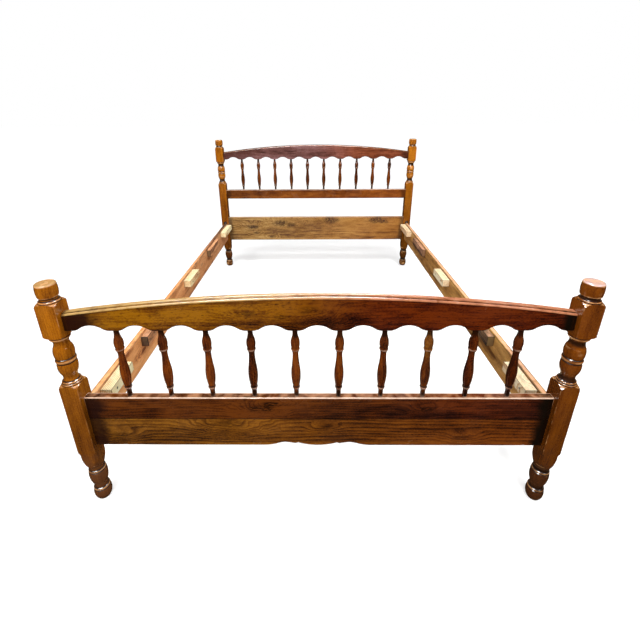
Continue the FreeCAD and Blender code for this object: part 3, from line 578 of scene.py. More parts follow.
# %% Recesses
def sink(bm, face, outlines, depth):
    """Cuts flat-bottomed recesses of the given outlines into a flat face. Gives their floors."""
    face.normal_update()
    inward = face.normal * -depth
    rim = face.edges[:]
    bmesh.ops.delete(bm, geom=[face], context="FACES_ONLY")
    loops = []
    for outline in outlines:
        verts = [bm.verts.new(point) for point in outline]
        loops.append([bm.edges.new(pair) for pair in zip(verts, verts[1:] + verts[:1])])
    bmesh.ops.triangle_fill(bm, edges=sum(loops, rim), use_beauty=True)
    floors = []
    for outline, loop in zip(outlines, loops):
        bottom = bm.faces.new([bm.verts.new(point + inward) for point in outline])
        bmesh.ops.bridge_loops(bm, edges=loop + bottom.edges[:])
        floors.append(bottom)
    return floors


def round_outline(half_width, low, high, steps=16):
    """A plate with round ends, as points of u and height. Where low and high are one diameter apart it is a
    circle."""
    points = []
    for middle, first_turn in ((high - half_width, 0.0), (low + half_width, math.pi)):
        for n in range(steps + 1):
            angle = first_turn + math.pi * n / steps
            points.append((half_width * math.cos(angle), middle + half_width * math.sin(angle)))
    return [point for n, point in enumerate(points) if math.dist(point, points[n - 1]) > MERGE]


print("a round recess has", len(round_outline(1, -1, 1)), "corners")

# %% [markdown]
# ## Turned posts
# A post starts as a square length of maple. The turner leaves two square blocks for the joints and turns
# the rest, so the corners of the blocks run out in curved tongues. The same order works here: the whole
# outline is spun, fat enough at the blocks to hold the square, and four planes then cut the flats, which
# leaves those tongues by itself. Last comes the joiner's work: a recess for the steel catch plate, and a
# pocket behind it for the hooks.

# %% Turned outlines
LEG, BALUSTER, UPPER_BLOCK, FINIAL = 212 * MM, 183 * MM, 82.5 * MM, 65 * MM
# each station is a share of the stretch's height, a share of half the post's width, and a bow in the same
# share
LEG_SHARES = (
    (0, 0.685, 0.170), (0.1934, 0.889, 0), (0.1981, 0.844, 0.067), (0.2311, 0.822, 0),
    (0.2358, 0.763, -0.033), (0.2877, 0.756, -0.022), (0.3302, 0.830, 0.111), (0.5566, 0.948, 0),
    (0.5637, 0.889, 0.052), (0.5920, 0.874, 0), (0.5967, 0.822, -0.037), (0.6509, 0.826, 0.115),
    (0.8962, 1.222, 0), (0.9292, 1.233, -0.056), (1, 1.45, 0))
BALUSTER_SHARES = (
    (0, 1.45, 0.089), (0.0820, 1.044, 0), (0.0852, 0.948, 0.052), (0.1158, 0.941, 0), (0.1202, 0.874, 0.056),
    (0.1486, 0.859, 0), (0.1541, 0.793, -0.052), (0.2350, 0.711, -0.019), (0.2842, 0.811, 0.111),
    (0.4809, 0.919, 0), (0.4891, 0.885, 0.107), (0.5601, 0.885, 0), (0.5683, 0.911, 0.085),
    (0.7432, 0.896, -0.044), (0.8361, 0.715, -0.048), (0.8962, 0.911, 0), (0.9016, 0.930, 0.059),
    (0.9426, 0.937, 0), (0.9508, 1.015, 0.081), (1, 1.45, 0))
FINIAL_SHARES = (
    (0, 1.45, 0.074), (0.1692, 1.052, 0), (0.1785, 0.948, 0.050), (0.2646, 0.941, 0), (0.2769, 0.859, -0.044),
    (0.4, 0.837, 0.019), (0.44, 0.930, 0.055), (0.9231, 0.941, 0.041), (1, 0.822, 0))
POST_STEP = 1.3 * MM


def stations(shares, start, length, half_width):
    """A turned stretch as corners of radius, height and bow."""
    return [(half_width * radius, start + length * height, half_width * bow)
            for height, radius, bow in shares]


low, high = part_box("foot_post_left")
sample_leg = bowed_path(stations(LEG_SHARES, low.z, LEG, (high.x - low.x) / 2), POST_STEP)
print("a leg's outline has", len(sample_leg), "points")

# %% Wear and spinning
BEAD_REACH, HOLLOW_REACH, REACH_STEPS = 6 * MM, 20 * MM, 4
# quirks and hollows are darkened as painted shade, and a bead's pale rub is partly a painted highlight
QUIRK_PAINTED_SHADE = 2
BEAD_WEAR_AND_HIGHLIGHT = 0.75
QUIRK_TURN = math.radians(27)
QUIRK_REACH = 3 * MM


def standing_out(points, reach, widest):
    """How far each point of a turned outline stands out of the outline within reach of it, in metres."""
    def radius_at(height):
        for low, high in zip(points, points[1:]):
            if low.y <= height <= high.y and high.y > low.y:
                part = (height - low.y) / (high.y - low.y)
                return min(low.x + (high.x - low.x) * part, widest)
        return 0.0

    bottom, top = points[0].y, points[-1].y
    offsets = [reach * n / REACH_STEPS for n in range(-REACH_STEPS, REACH_STEPS + 1)]
    values = []
    for point in points:
        round_it = [radius_at(min(max(point.y + offset, bottom), top)) for offset in offsets]
        values.append(min(point.x, widest) - sum(round_it) / len(round_it) if point.x else 0.0)
    return values


def quirks(points):
    """The sharp inner corners of a turned outline, which are darkened as painted shade."""
    corners = []
    for before, point, after in zip(points, points[1:], points[2:]):
        if (point - before).angle_signed(after - point, 0.0) > QUIRK_TURN:
            corners.append(point)
    return corners


def turning_relief(points, widest, hollow):
    """Beads stand out and rub pale, partly as a painted highlight. Quirks are darkened as painted shade, and
    hollows, which lie so many millimetres deep, take a little of that shade."""
    beads = standing_out(points, BEAD_REACH, widest)
    hollows = standing_out(points, HOLLOW_REACH, widest)
    shaded_quirks = quirks(points)
    values = []
    for point, bead, deep in zip(points, beads, hollows):
        quirk_shade = max(1 - (point - corner).length / QUIRK_REACH for corner in shaded_quirks)
        value = max(bead, 0.0) / MM + deep / (hollow * MM) - QUIRK_PAINTED_SHADE * max(quirk_shade, 0.0)
        values.append(max(-1.0, min(BEAD_WEAR_AND_HIGHLIGHT, value)))
    return values


def spin_outline(points, values, steps):
    """A solid of revolution about Z from points of radius and height."""
    bm, relief = blank()
    verts = []
    for point, value in zip(points, values):
        vert = bm.verts.new((point.x, 0, point.y))
        vert[relief] = value
        verts.append(vert)
    edges = [bm.edges.new(pair) for pair in zip(verts, verts[1:])]
    bmesh.ops.spin(bm, geom=verts + edges, cent=(0, 0, 0), axis=(0, 0, 1), angle=math.tau, steps=steps,
                   use_merge=True)
    bmesh.ops.remove_doubles(bm, verts=bm.verts[:], dist=MERGE)
    return bm, relief


print("a leg has", len(quirks(sample_leg)), "quirks")

# %% Posts
CORNER_SHARE = 1.385
ARRIS_BAND = 3 * MM
ARRIS_WEAR, CAP_WEAR = 0.45, 0.6
WIDEST_SHARE = 1.05
POST_STEPS = 72
PLATE_PLAY = 0.2 * MM
# the pocket that the hooks drop into, as half its width, its depth behind the plate, and how far it stops
# short of the plate's lower and upper ends
HOOK_POCKET = (4.5 * MM, 8 * MM, 21 * MM, 42 * MM)
FOUR_WAYS = (Vector((1, 0, 0)), Vector((0, 1, 0)), Vector((-1, 0, 0)), Vector((0, -1, 0)))


def square_up(bm, relief, half_width):
    """Cuts four flats on a spun post. What is left of the round eases their arrises, and a cut beside each
    arris lets its wear fade out."""
    flat_half = half_width * math.sqrt(CORNER_SHARE ** 2 - 1)
    for normal in FOUR_WAYS:
        rim = only(bmesh.types.BMEdge, saw(bm, normal * half_width, normal, clear_outer=True))
        bmesh.ops.edgeloop_fill(bm, edges=rim)
    for normal in FOUR_WAYS:
        saw(bm, normal * (flat_half - ARRIS_BAND), normal)
    for vert in bm.verts:
        nearer, farther = sorted((abs(vert.co.x), abs(vert.co.y)))
        if farther > half_width - MERGE and nearer < flat_half - ARRIS_BAND / 2:
            vert[relief] = 0.0
    bmesh.ops.recalc_face_normals(bm, faces=bm.faces[:])


def box_corners(half, low, high):
    """The corners of a rectangle, as points of u and height."""
    return [(-half, low), (half, low), (half, high), (-half, high)]


def let_in_plate(bm, post_place, plate):
    """Cuts the recess for a catch plate, with the hooks' pocket in its floor, in the flat that holds the
    plate."""
    low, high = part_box(plate)
    facing = 1 if low.y < 0 else -1
    face_y = (high.y if facing > 0 else low.y) - post_place.y
    facing_faces = [face for face in bm.faces if face.normal.y * facing > FLAT]
    flat = max(facing_faces, key=lambda face: face.calc_area())
    half_plate = (high.x - low.x) / 2 + PLATE_PLAY
    outline = round_outline(half_plate, low.z - PLATE_PLAY, high.z + PLATE_PLAY)
    bottom, = sink(bm, flat, [[Vector((u, face_y, z)) for u, z in outline]], high.y - low.y)
    half_pocket, depth, above_end, below_end = HOOK_POCKET
    floor_y = face_y - facing * (high.y - low.y)
    corners = box_corners(half_pocket, low.z + above_end, high.z - below_end)
    sink(bm, bottom, [[Vector((u, floor_y, z)) for u, z in corners]], depth)


def turned_post(node, plate, hollow, material):
    low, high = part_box(node)
    place = Vector(((low.x + high.x) / 2, (low.y + high.y) / 2, 0))
    half_width = (high.x - low.x) / 2
    finial_base = high.z - FINIAL
    baluster_top = finial_base - UPPER_BLOCK
    corners = [(0, low.z, 0), *stations(LEG_SHARES, low.z, LEG, half_width)]
    corners += stations(BALUSTER_SHARES, baluster_top - BALUSTER, BALUSTER, half_width)
    corners += [*stations(FINIAL_SHARES, finial_base, FINIAL, half_width), (0, high.z, 0)]
    points = bowed_path(corners, POST_STEP)
    values = turning_relief(points, half_width * WIDEST_SHARE, hollow)
    values[-2:] = [CAP_WEAR, CAP_WEAR]
    for n, point in enumerate(points):
        if point.x > half_width * CORNER_SHARE:
            point.x = half_width * CORNER_SHARE
            values[n] = ARRIS_WEAR
    bm, relief = spin_outline(points, values, POST_STEPS)
    square_up(bm, relief, half_width)
    let_in_plate(bm, place, plate)
    bmesh.ops.translate(bm, vec=place, verts=bm.verts[:])
    return finish_piece(bm, f"{node}_turned", node, material, crisp_flats=True)


print("a flat takes", round(math.sqrt(CORNER_SHARE ** 2 - 1), 2), "of a post's width")

# %% Post finishes
POST_TIMBER = {"Pale": colour(200, 122, 20), "Middle": colour(160, 92, 12), "Dark": colour(92, 42, 4),
               "Ring Spacing": 0.007, "Waviness": 0.02, "Figure": 0.12, "Blotches": 0.45, "Streaks": 0.35,
               "Flecks": 0.3}
POST_WEAR = {"Rubbed": colour(232, 172, 112), "Rubbing": 0.75, "Dirtiness": 0.9, "Gloss Low": 0.12,
             "Gloss High": 0.26}
POST_COATS = {"foot": 0.7, "head": 0.35}
SCUFF_REACH, CAP_TOP = 0.24, 4 * MM
LOWER_TINT_TOP, UPPER_TINT_DOWN = 0.25, 0.15
# how many millimetres deep a hollow of each post is when painted shade fills it
HOLLOW_SHADE_DEPTHS = {("foot", "left"): 26, ("foot", "right"): 7, ("head", "left"): 4, ("head", "right"): 4}
# where the tree's heart is, the tints of the lower and upper half, the cap top, worn pale and partly a
# painted highlight, and the scuffed foot; the left foot post's lighter upper tint is painted light, for the
# light that is stronger at the left
post_looks = {
    ("foot", "left"): ((0.2, 0.66, 0.93), (186, 180, 216), (244, 240, 232), (188, 148, 92), (84, 54, 40)),
    ("foot", "right"): ((0.9, -0.73, 0.95), (158, 144, 170), (172, 152, 176), (222, 190, 186), (32, 24, 22)),
    ("head", "left"): ((1.7, 0.69, -0.96), (206, 196, 202), (250, 248, 240), (196, 136, 60), (40, 22, 16)),
    ("head", "right"): ((2.6, -0.66, -1.03), (180, 176, 200), (246, 243, 248), (196, 136, 60), (40, 22, 16)),
}
for (end, side), (heart, low_tint, high_tint, cap, scuffed) in post_looks.items():
    node = f"{end}_post_{side}"
    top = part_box(node)[1].z
    stain = {"Drift From": LOWER_TINT_TOP, "Drift To": top - UPPER_TINT_DOWN,
             "From Tint": colour(*low_tint), "To Tint": colour(*high_tint),
             "Start": 0.0, "Start Reach": SCUFF_REACH, "Start Shade": colour(*scuffed), "Start Amount": 0.6,
             "End": top, "End Reach": CAP_TOP, "End Shade": colour(*cap), "End Amount": 0.85}
    finish = wood_finish(f"honey_maple_{end}_{side}", "z", heart, POST_TIMBER, stain, POST_WEAR,
                         coat=POST_COATS[end])
    post = turned_post(node, f"{side}_{end}_catch_plate", HOLLOW_SHADE_DEPTHS[end, side], finish)
    print(post.name, len(post.data.polygons), "faces")

# %% [markdown]
# ## Spindles
# Twenty spindles, all turned to one pattern, stand between the rails in shallow holes. They are thin, so
# they are spun with fewer steps than the posts. They took a redder stain, and their necks near the rails
# are darkened as painted shade where they meet the rails.

# %% Spindles
SPINDLE_SHARES = (
    (0, 0.519, 0), (0.0877, 0.519, -0.045), (0.1338, 0.699, 0.083), (0.1689, 0.714, 0),
    (0.1798, 0.722, 0.195), (0.4561, 0.895, -0.045), (0.6404, 0.632, -0.068), (0.7018, 0.842, 0.075),
    (0.7368, 0.857, 0), (0.7456, 0.865, 0.120), (0.8596, 0.835, -0.053), (0.9430, 0.541, 0), (1, 0.519, 0))
SPINDLE_LENGTH, SPINDLE_HALF = 228 * MM, 13.3 * MM
SPINDLE_TENON = 15 * MM
SPINDLE_TENON_HALF = 4.75 * MM
SPINDLE_STEPS = 36
SPINDLE_STEP = 1.1 * MM
SPINDLE_COUNT = 10
# how deep the spindles' hollows lie when painted shade fills them, in millimetres
SPINDLE_HOLLOW_SHADE = 9


def turned_spindle(node, material):
    low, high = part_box(node)
    base = low.z + SPINDLE_TENON
    top = high.z - SPINDLE_TENON
    corners = [(0, low.z, 0), (SPINDLE_TENON_HALF, low.z, 0), (SPINDLE_TENON_HALF, base, 0)]
    corners += stations(SPINDLE_SHARES, base, SPINDLE_LENGTH, SPINDLE_HALF)
    corners += [(SPINDLE_TENON_HALF, top, 0), (SPINDLE_TENON_HALF, high.z, 0), (0, high.z, 0)]
    points = bowed_path(corners, SPINDLE_STEP)
    values = turning_relief(points, SPINDLE_HALF, SPINDLE_HOLLOW_SHADE)
    bm, _ = spin_outline(points, values, SPINDLE_STEPS)
    bmesh.ops.translate(bm, vec=((low.x + high.x) / 2, (low.y + high.y) / 2, 0), verts=bm.verts[:])
    return finish_piece(bm, f"{node}_turned", node, material)


SPINDLE_TIMBER = {"Pale": colour(128, 62, 14), "Middle": colour(88, 38, 10), "Dark": colour(40, 14, 6),
                  "Ring Spacing": 0.006, "Waviness": 0.02, "Figure": 0.15, "Blotches": 0.8, "Streaks": 0.5,
                  "Flecks": 0.4}
SPINDLE_WEAR = {"Rubbed": colour(205, 165, 140), "Rubbing": 0.65, "Dirtiness": 0.9, "Gloss Low": 0.1,
                "Gloss High": 0.24}
# how each stretch of a row took the stain, from its first spindle on: the tint of the belly and of the
# upper bulb
SPINDLE_TINTS = {"foot": {1: ((262, 258, 255), (255, 255, 262)), 4: ((245, 245, 245), (245, 245, 245)),
                          8: ((225, 235, 265), (330, 400, 370)), 9: ((205, 190, 200), (200, 190, 210)),
                          10: ((150, 135, 170), (190, 180, 200))},
                 "head": {1: ((270, 285, 300), (270, 285, 300)), 8: ((245, 245, 245), (245, 245, 245))}}
BELLY_TOP, BULB_BASE = 0.11, 0.17
for end in ENDS:
    base, top = (corner.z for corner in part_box(f"{end}_spindle_01"))
    base += SPINDLE_TENON
    # the ends near the rails darken as painted shade where the spindles meet the rails
    stain = {"Start": base, "Start Reach": 0.035, "Start Amount": 0.8, "End": top - SPINDLE_TENON,
             "End Reach": 0.03, "End Amount": 0.75,
             "Drift From": base + BELLY_TOP, "Drift To": base + BULB_BASE}
    for number in range(1, SPINDLE_COUNT + 1):
        if number in SPINDLE_TINTS[end]:
            belly, bulb = (colour(*tint) for tint in SPINDLE_TINTS[end][number])
            finish = wood_finish(f"red_brown_{end}_spindles_{number}", "z", (0.3, 0.05, 0.95), SPINDLE_TIMBER,
                                 {**stain, "From Tint": belly, "To Tint": bulb}, SPINDLE_WEAR, coat=0.8)
        spindle = turned_spindle(f"{end}_spindle_{number:02d}", finish)
    print(end, "spindles of", len(spindle.data.polygons), "faces")

# %% [markdown]
# ## Arched top rails
# The top rail is a board sawn to an arch, with a scallop on each side of every spindle and a small
# quarter-round run along its front arris. The outline is drawn flat, made a face and extruded through the
# thickness; the last few millimetres are extruded in small steps while the arch sinks, and those steps
# are the moulding.

# %% Arched rails
BOARD_HALF = 683 * MM
HOUSED = 2 * MM
ARCH_RISE = 50 * MM
SCALLOP_DEPTH, LOBE_FLAT = 16.5 * MM, 25 * MM
SCALLOP_TURN_SHARES = (0.657, 0.344)
SCALLOP_BOW_SHARES = (0.072, 0.656)
RAIL_HALF_THICKNESS = 12 * MM
MOULDING_RADIUS, MOULDING_QUIRK, QUIRK_WIDTH = 6 * MM, 2 * MM, 0.3 * MM
MOULDING_STEPS = 6
RAIL_STEP, RAIL_BAND = 4 * MM, 4 * MM
# the pale top and moulding are worn and partly a painted highlight; the quirk under the moulding is darkened
# as painted shade, and the scallops' edges are darker, partly as painted shade
TOP_WEAR_AND_HIGHLIGHT, QUIRK_SHADE, MOULDING_WEAR_AND_HIGHLIGHT, LOBE_SHADE = 0.95, -0.38, 0.95, -0.45
spindle_middles = [sum(corner.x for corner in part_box(f"foot_spindle_{n:02d}")) / 2 for n in (1, 2)]
SPINDLE_PITCH = spindle_middles[1] - spindle_middles[0]
FIRST_SCALLOP = spindle_middles[0] - SPINDLE_PITCH / 2


def rail_outline(low, high):
    """The arch from right to left, then the scallops from left to right, as points of x and z, and how many
    of them belong to the arch."""
    arch = bowed_path([(BOARD_HALF, high, ARCH_RISE), (-BOARD_HALF, high, 0)], RAIL_STEP * 2)
    half_scallop = (SPINDLE_PITCH - LOBE_FLAT) / 2
    turn_x = half_scallop * SCALLOP_TURN_SHARES[0]
    turn_z = low + SCALLOP_DEPTH * SCALLOP_TURN_SHARES[1]
    near_bow, crown_bow = (SCALLOP_DEPTH * share for share in SCALLOP_BOW_SHARES)
    corners = [(-BOARD_HALF, low, 0)]
    for number in range(SPINDLE_COUNT + 1):
        middle = FIRST_SCALLOP + SPINDLE_PITCH * number
        corners += [(middle - half_scallop, low, near_bow), (middle - turn_x, turn_z, -crown_bow),
                    (middle + turn_x, turn_z, near_bow), (middle + half_scallop, low, 0)]
    corners.append((BOARD_HALF, low, 0))
    return arch + bowed_path(corners, RAIL_STEP), len(arch)


def extrude_face(bm, face, shift):
    """Extrudes the face and moves its new vertices by shift(vertex). Gives the face at the far end."""
    made = bmesh.ops.extrude_face_region(bm, geom=[face])["geom"]
    for vert in only(bmesh.types.BMVert, made):
        vert.co += shift(vert)
    return only(bmesh.types.BMFace, made)[0]


def arched_rail(node, material):
    low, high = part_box(node)
    middle_y = (low.y + high.y) / 2
    points, arch_count = rail_outline(low.z, high.z - ARCH_RISE)
    bm, relief = blank()
    on_arch = bm.verts.layers.int.new("on_arch")
    verts = [bm.verts.new((p.x, middle_y + RAIL_HALF_THICKNESS, p.y)) for p in points]
    for vert in verts:
        vert[relief] = LOBE_SHADE
    for vert in verts[:arch_count]:
        vert[on_arch] = 1
        vert[relief] = TOP_WEAR_AND_HIGHLIGHT
    arch_middle = Vector((0, middle_y, high.z - (BOARD_HALF ** 2 + ARCH_RISE ** 2) / (2 * ARCH_RISE)))

    def step(depth, sinking, value):
        def shift(vert):
            move = Vector((0, -depth, 0))
            if vert[on_arch]:
                inward = arch_middle - vert.co
                inward.y = 0
                move += inward.normalized() * sinking
                vert[relief] = value
            return move
        return shift

    back = bm.faces.new(verts)
    face = extrude_face(bm, back, step(2 * RAIL_HALF_THICKNESS - MOULDING_RADIUS - QUIRK_WIDTH, 0, TOP_WEAR_AND_HIGHLIGHT))
    face = extrude_face(bm, face, step(QUIRK_WIDTH, MOULDING_QUIRK, QUIRK_SHADE))
    quarter = math.pi / 2 / MOULDING_STEPS
    for number in range(MOULDING_STEPS):
        out = math.sin(quarter * (number + 1)) - math.sin(quarter * number)
        down = math.cos(quarter * number) - math.cos(quarter * (number + 1))
        value = MOULDING_WEAR_AND_HIGHLIGHT if number < MOULDING_STEPS - 1 else QUIRK_SHADE
        face = extrude_face(bm, face, step(MOULDING_RADIUS * out, MOULDING_RADIUS * down, value))
    fade_flats(bm, relief, [face, back], RAIL_BAND)
    return finish_piece(bm, f"{node}_board", node, material)


print("a spindle stands every", round(SPINDLE_PITCH / MM, 1), "mm")

# %% Arched rail finishes
BOARD_ENDS = {"Start": -BOARD_HALF, "End": BOARD_HALF}
RAIL_WEAR = {"Rubbed": colour(192, 126, 76), "Rubbing": 0.85, "Dirtiness": 0.9, "Gloss Low": 0.14,
             "Gloss High": 0.28}
FOOT_RAIL_DRIFT = {"Drift From": -0.28, "Drift To": 0.2}
# its ends darken beside the posts, red-brown over a long stretch at the left and near black at the right:
# partly stain and partly painted shadow of the posts
foot_rail_finish = wood_finish(
    "golden_brown_foot_rail", "x", (0.1, 1.04, -0.62),
    {"Pale": colour(152, 96, 8), "Middle": colour(106, 58, 6), "Dark": colour(40, 14, 4),
     "Ring Spacing": 0.008, "Waviness": 0.05, "Figure": 0.2, "Blotches": 0.8, "Streaks": 0.6, "Flecks": 0.7},
    {**BOARD_ENDS, **FOOT_RAIL_DRIFT, "To Tint": colour(180, 118, 184),
     "Start Reach": 0.12, "Start Shade": colour(34, 10, 6), "Start Amount": 0.95,
     "End Reach": 0.045, "End Amount": 1.0}, {**RAIL_WEAR, "Rubbed": colour(196, 156, 88)},
    face_knots((-0.02, 0.70, 0.016), (-0.19, 0.69, 0.012), (-0.10, 0.68, 0.01), (0.02, 0.665, 0.014)),
    {**FOOT_RAIL_DRIFT, "To Tint": colour(250, 200, 235)}, coat=0.4)
# its cool pale From Tint over the left and middle is a painted sheen, a reflection of light on the varnish
head_rail_finish = wood_finish(
    "plum_brown_head_rail", "x", (0.4, -0.93, -0.88),
    {"Pale": colour(162, 110, 94), "Middle": colour(122, 75, 58), "Dark": colour(64, 32, 24),
     "Ring Spacing": 0.008, "Waviness": 0.05, "Figure": 0.15, "Blotches": 0.6, "Streaks": 0.5, "Flecks": 0.4},
    {**BOARD_ENDS, "Drift From": -0.1, "Drift To": 0.35, "From Tint": colour(230, 242, 280),
     "To Tint": colour(226, 184, 146),
     "Start Reach": 0.32, "Start Shade": colour(70, 32, 20), "Start Amount": 0.6,
     "End Reach": 0.06, "End Amount": 0.6}, {**RAIL_WEAR, "Rubbing": 0.4}, coat=0.7)
for node, finish in (("foot_top_rail", foot_rail_finish), ("head_top_rail", head_rail_finish)):
    rail = arched_rail(node, finish)
    print(rail.name, len(rail.data.polygons), "faces")

# %% [markdown]
# ## Straight boards
# The spindle rails, the head panel and the side rails are planed boards with eased arrises: a box whose
# edges are bevelled, with a band inset round each face so that the wear stays at the arris. The upper
# arrises are rubbed pale and painted paler still as a highlight, and the lower ones are darkened as painted
# shade. Their tops are where hands and bedding rubbed the finish away, so the whole top face can be worn
# too; that pale is partly a painted highlight of the light from above.

# %% Straight boards
ARRIS_SEGMENTS = 3
# relief of the arrises: the upper ones are worn and painted paler as a highlight, the lower ones darkened as
# painted shade
BOARD_ARRIS, BOARD_UPPER_WEAR_AND_HIGHLIGHT, BOARD_LOWER_SHADE = 2 * MM, 1.4, -0.4


def top_of(flats):
    return max(flats, key=lambda face: face.calc_center_median().z)


def planed_board(node, arris, upper, lower, top, housed=None):
    """A board with rounded arrises. housed gives the half length that shows, where the ends go into posts.
    upper, lower and top are the relief of the upper arrises, the lower ones and the top face. Gives the
    bmesh and its six flats."""
    low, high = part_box(node)
    if housed:
        low.x, high.x = -housed, housed
    bm, relief = blank()
    bmesh.ops.create_cube(bm, size=1)
    bmesh.ops.scale(bm, vec=high - low, verts=bm.verts[:])
    bmesh.ops.translate(bm, vec=(low + high) / 2, verts=bm.verts[:])
    bmesh.ops.bevel(bm, geom=bm.edges[:], offset=arris, segments=ARRIS_SEGMENTS, profile=0.5,
                    affect="EDGES", material=-1)
    for vert in bm.verts:
        vert[relief] = upper if vert.co.z > (low.z + high.z) / 2 else lower
    bm.normal_update()
    flats = [face for face in bm.faces if max(map(abs, face.normal)) > FLAT]
    fade_flats(bm, relief, flats, arris)
    for vert in top_of(flats).verts:
        vert[relief] = top
    return bm, flats


BOARD_WEAR = {"Rubbed": colour(180, 124, 84), "Rubbing": 0.85, "Dirtiness": 0.9, "Gloss Low": 0.16,
              "Gloss High": 0.3}
# the ends darken beside the posts, partly stain and partly painted shadow of the posts
POST_SHADOWED_ENDS = {**BOARD_ENDS, "Start Reach": 0.07, "Start Shade": colour(30, 10, 8), "Start Amount": 0.9,
             "End Reach": 0.05, "End Amount": 1.0}
foot_board_finish = wood_finish(
    "dark_brown_spindle_rail", "x", (0.7, 1.03, -0.30),
    {"Pale": colour(108, 56, 14), "Middle": colour(76, 35, 8), "Dark": colour(30, 10, 6),
     "Ring Spacing": 0.009, "Waviness": 0.06, "Figure": 0.28, "Blotches": 0.8, "Streaks": 0.5, "Flecks": 0.5},
    {**POST_SHADOWED_ENDS, "Drift From": 0.0, "Drift To": 0.5, "From Tint": colour(248, 240, 225),
     "To Tint": colour(228, 190, 225)}, BOARD_WEAR,
    face_knots((-0.165, 0.372, 0.016), (-0.135, 0.388, 0.012), (0.32, 0.37, 0.012), darkness=0.9), coat=0.5)
head_board_finish = wood_finish(
    "warm_brown_head_rail", "x", (1.9, -0.95, -0.55),
    {"Pale": colour(164, 96, 34), "Middle": colour(124, 66, 20), "Dark": colour(70, 30, 8),
     "Ring Spacing": 0.009, "Waviness": 0.05, "Figure": 0.15, "Blotches": 0.6, "Streaks": 0.5, "Flecks": 0.4},
    {**BOARD_ENDS, "From Tint": colour(240, 240, 240), "To Tint": colour(240, 225, 220),
     "Start Amount": 0.6, "End Amount": 0.6}, BOARD_WEAR, coat=0.4)
head_panel_finish = wood_finish(
    "knotty_pine_panel", "x", (0.35, -0.90, -0.25),
    {"Pale": colour(186, 148, 86), "Middle": colour(156, 114, 56), "Dark": colour(88, 52, 20),
     "Ring Spacing": 0.010, "Waviness": 0.03, "Figure": 0.35, "Blotches": 0.6, "Flecks": 0.3},
    {**BOARD_ENDS, "Start Reach": 0.04, "Start Amount": 0.5, "End Reach": 0.04, "End Amount": 0.5,
     "From Tint": colour(255, 255, 255), "To Tint": colour(246, 212, 162)},
    {"Rubbed": colour(196, 160, 110), "Rubbing": 0.4, "Dirtiness": 0.9, "Gloss Low": 0.4, "Gloss High": 0.6},
    face_knots((-0.50, 0.33, 0.02), (-0.47, 0.28, 0.012), (-0.27, 0.355, 0.03), (-0.20, 0.345, 0.022),
               (0.115, 0.385, 0.03), (0.15, 0.38, 0.02), (0.47, 0.38, 0.03), (0.52, 0.37, 0.02),
               (-0.35, 0.25, 0.012), darkness=1.0), coat=0.05)
# each board's finish and how worn its top is, its pale partly a painted highlight
for node, finish, top in (("foot_spindle_rail", foot_board_finish, 0.62),
                          ("head_spindle_rail", head_board_finish, 0.3),
                          ("head_panel", head_panel_finish, 0.2)):
    bm, _ = planed_board(node, BOARD_ARRIS, BOARD_UPPER_WEAR_AND_HIGHLIGHT, BOARD_LOWER_SHADE, top, BOARD_HALF + HOUSED)
    plank = finish_piece(bm, f"{node}_board", node, finish)
    print(plank.name, len(plank.data.polygons), "faces")

# %% [markdown]
# ## Foot apron
# Under the foot's spindle rail hangs an apron, a board whose lower edge is cut to a shallow bracket shape
# in the middle. A boolean could cut it, but the outline is short, so it is drawn whole, arcs and all, and
# extruded.

# %% Foot apron
APRON_CUT_HALF, APRON_CUT_DEPTH = 158 * MM, 12 * MM
# from the outer end of the cut to the middle: shares of its half width and depth, and the bow as a share of
# the depth
APRON_CUT_SHARES = ((1, 0, 0.08), (0.8, 0.44, -0.11), (0.62, 1, -0.06), (0.43, 0.58, 0), (0.373, 0.83, 0.83))
BOARD_HALF_THICKNESS = 11 * MM
APRON_EDGE_SHADE, APRON_BAND = -0.3, 2.5 * MM


def apron_outline(low, high):
    """The lower edge from left to right with its shaped cut-out, then back along the top."""
    rising_half = [(-APRON_CUT_HALF * x, low + APRON_CUT_DEPTH * z, APRON_CUT_DEPTH * bow)
                   for x, z, bow in APRON_CUT_SHARES]
    falling_half = []
    for index in range(len(APRON_CUT_SHARES) - 1, -1, -1):
        x, z, _ = APRON_CUT_SHARES[index]
        bow = APRON_CUT_SHARES[index - 1][2] if index else 0
        falling_half.append((APRON_CUT_HALF * x, low + APRON_CUT_DEPTH * z, APRON_CUT_DEPTH * bow))
    reach = BOARD_HALF + HOUSED
    corners = [(-reach, low, 0), *rising_half, *falling_half, (reach, low, 0), (reach, high, 0),
               (-reach, high, 0)]
    return bowed_path(corners, RAIL_STEP)


def shaped_apron(node, material):
    low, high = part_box(node)
    middle_y = (low.y + high.y) / 2
    bm, relief = blank()
    verts = [bm.verts.new((p.x, middle_y + BOARD_HALF_THICKNESS, p.y)) for p in apron_outline(low.z, high.z)]
    for vert in verts:
        vert[relief] = APRON_EDGE_SHADE
    back = bm.faces.new(verts)
    front = extrude_face(bm, back, lambda vert: Vector((0, -2 * BOARD_HALF_THICKNESS, 0)))
    fade_flats(bm, relief, [front, back], APRON_BAND)
    return finish_piece(bm, f"{node}_board", node, material)


apron_finish = wood_finish(
    "olive_brown_apron", "x", (1.3, 1.02, -0.22),
    {"Pale": colour(150, 97, 26), "Middle": colour(112, 67, 16), "Dark": colour(54, 27, 8),
     "Ring Spacing": 0.012, "Waviness": 0.05, "Figure": 0.4, "Blotches": 0.6, "Streaks": 0.4, "Flecks": 0.5},
    {**POST_SHADOWED_ENDS, "From Tint": colour(255, 252, 235), "To Tint": colour(220, 178, 172)}, BOARD_WEAR,
    face_knots((-0.60, 0.27, 0.014), (-0.27, 0.312, 0.024), (0.02, 0.30, 0.01),
               (0.44, 0.26, 0.014)), coat=0.4)
apron = shaped_apron("foot_apron", apron_finish)
print(apron.name, len(apron.data.polygons), "faces")

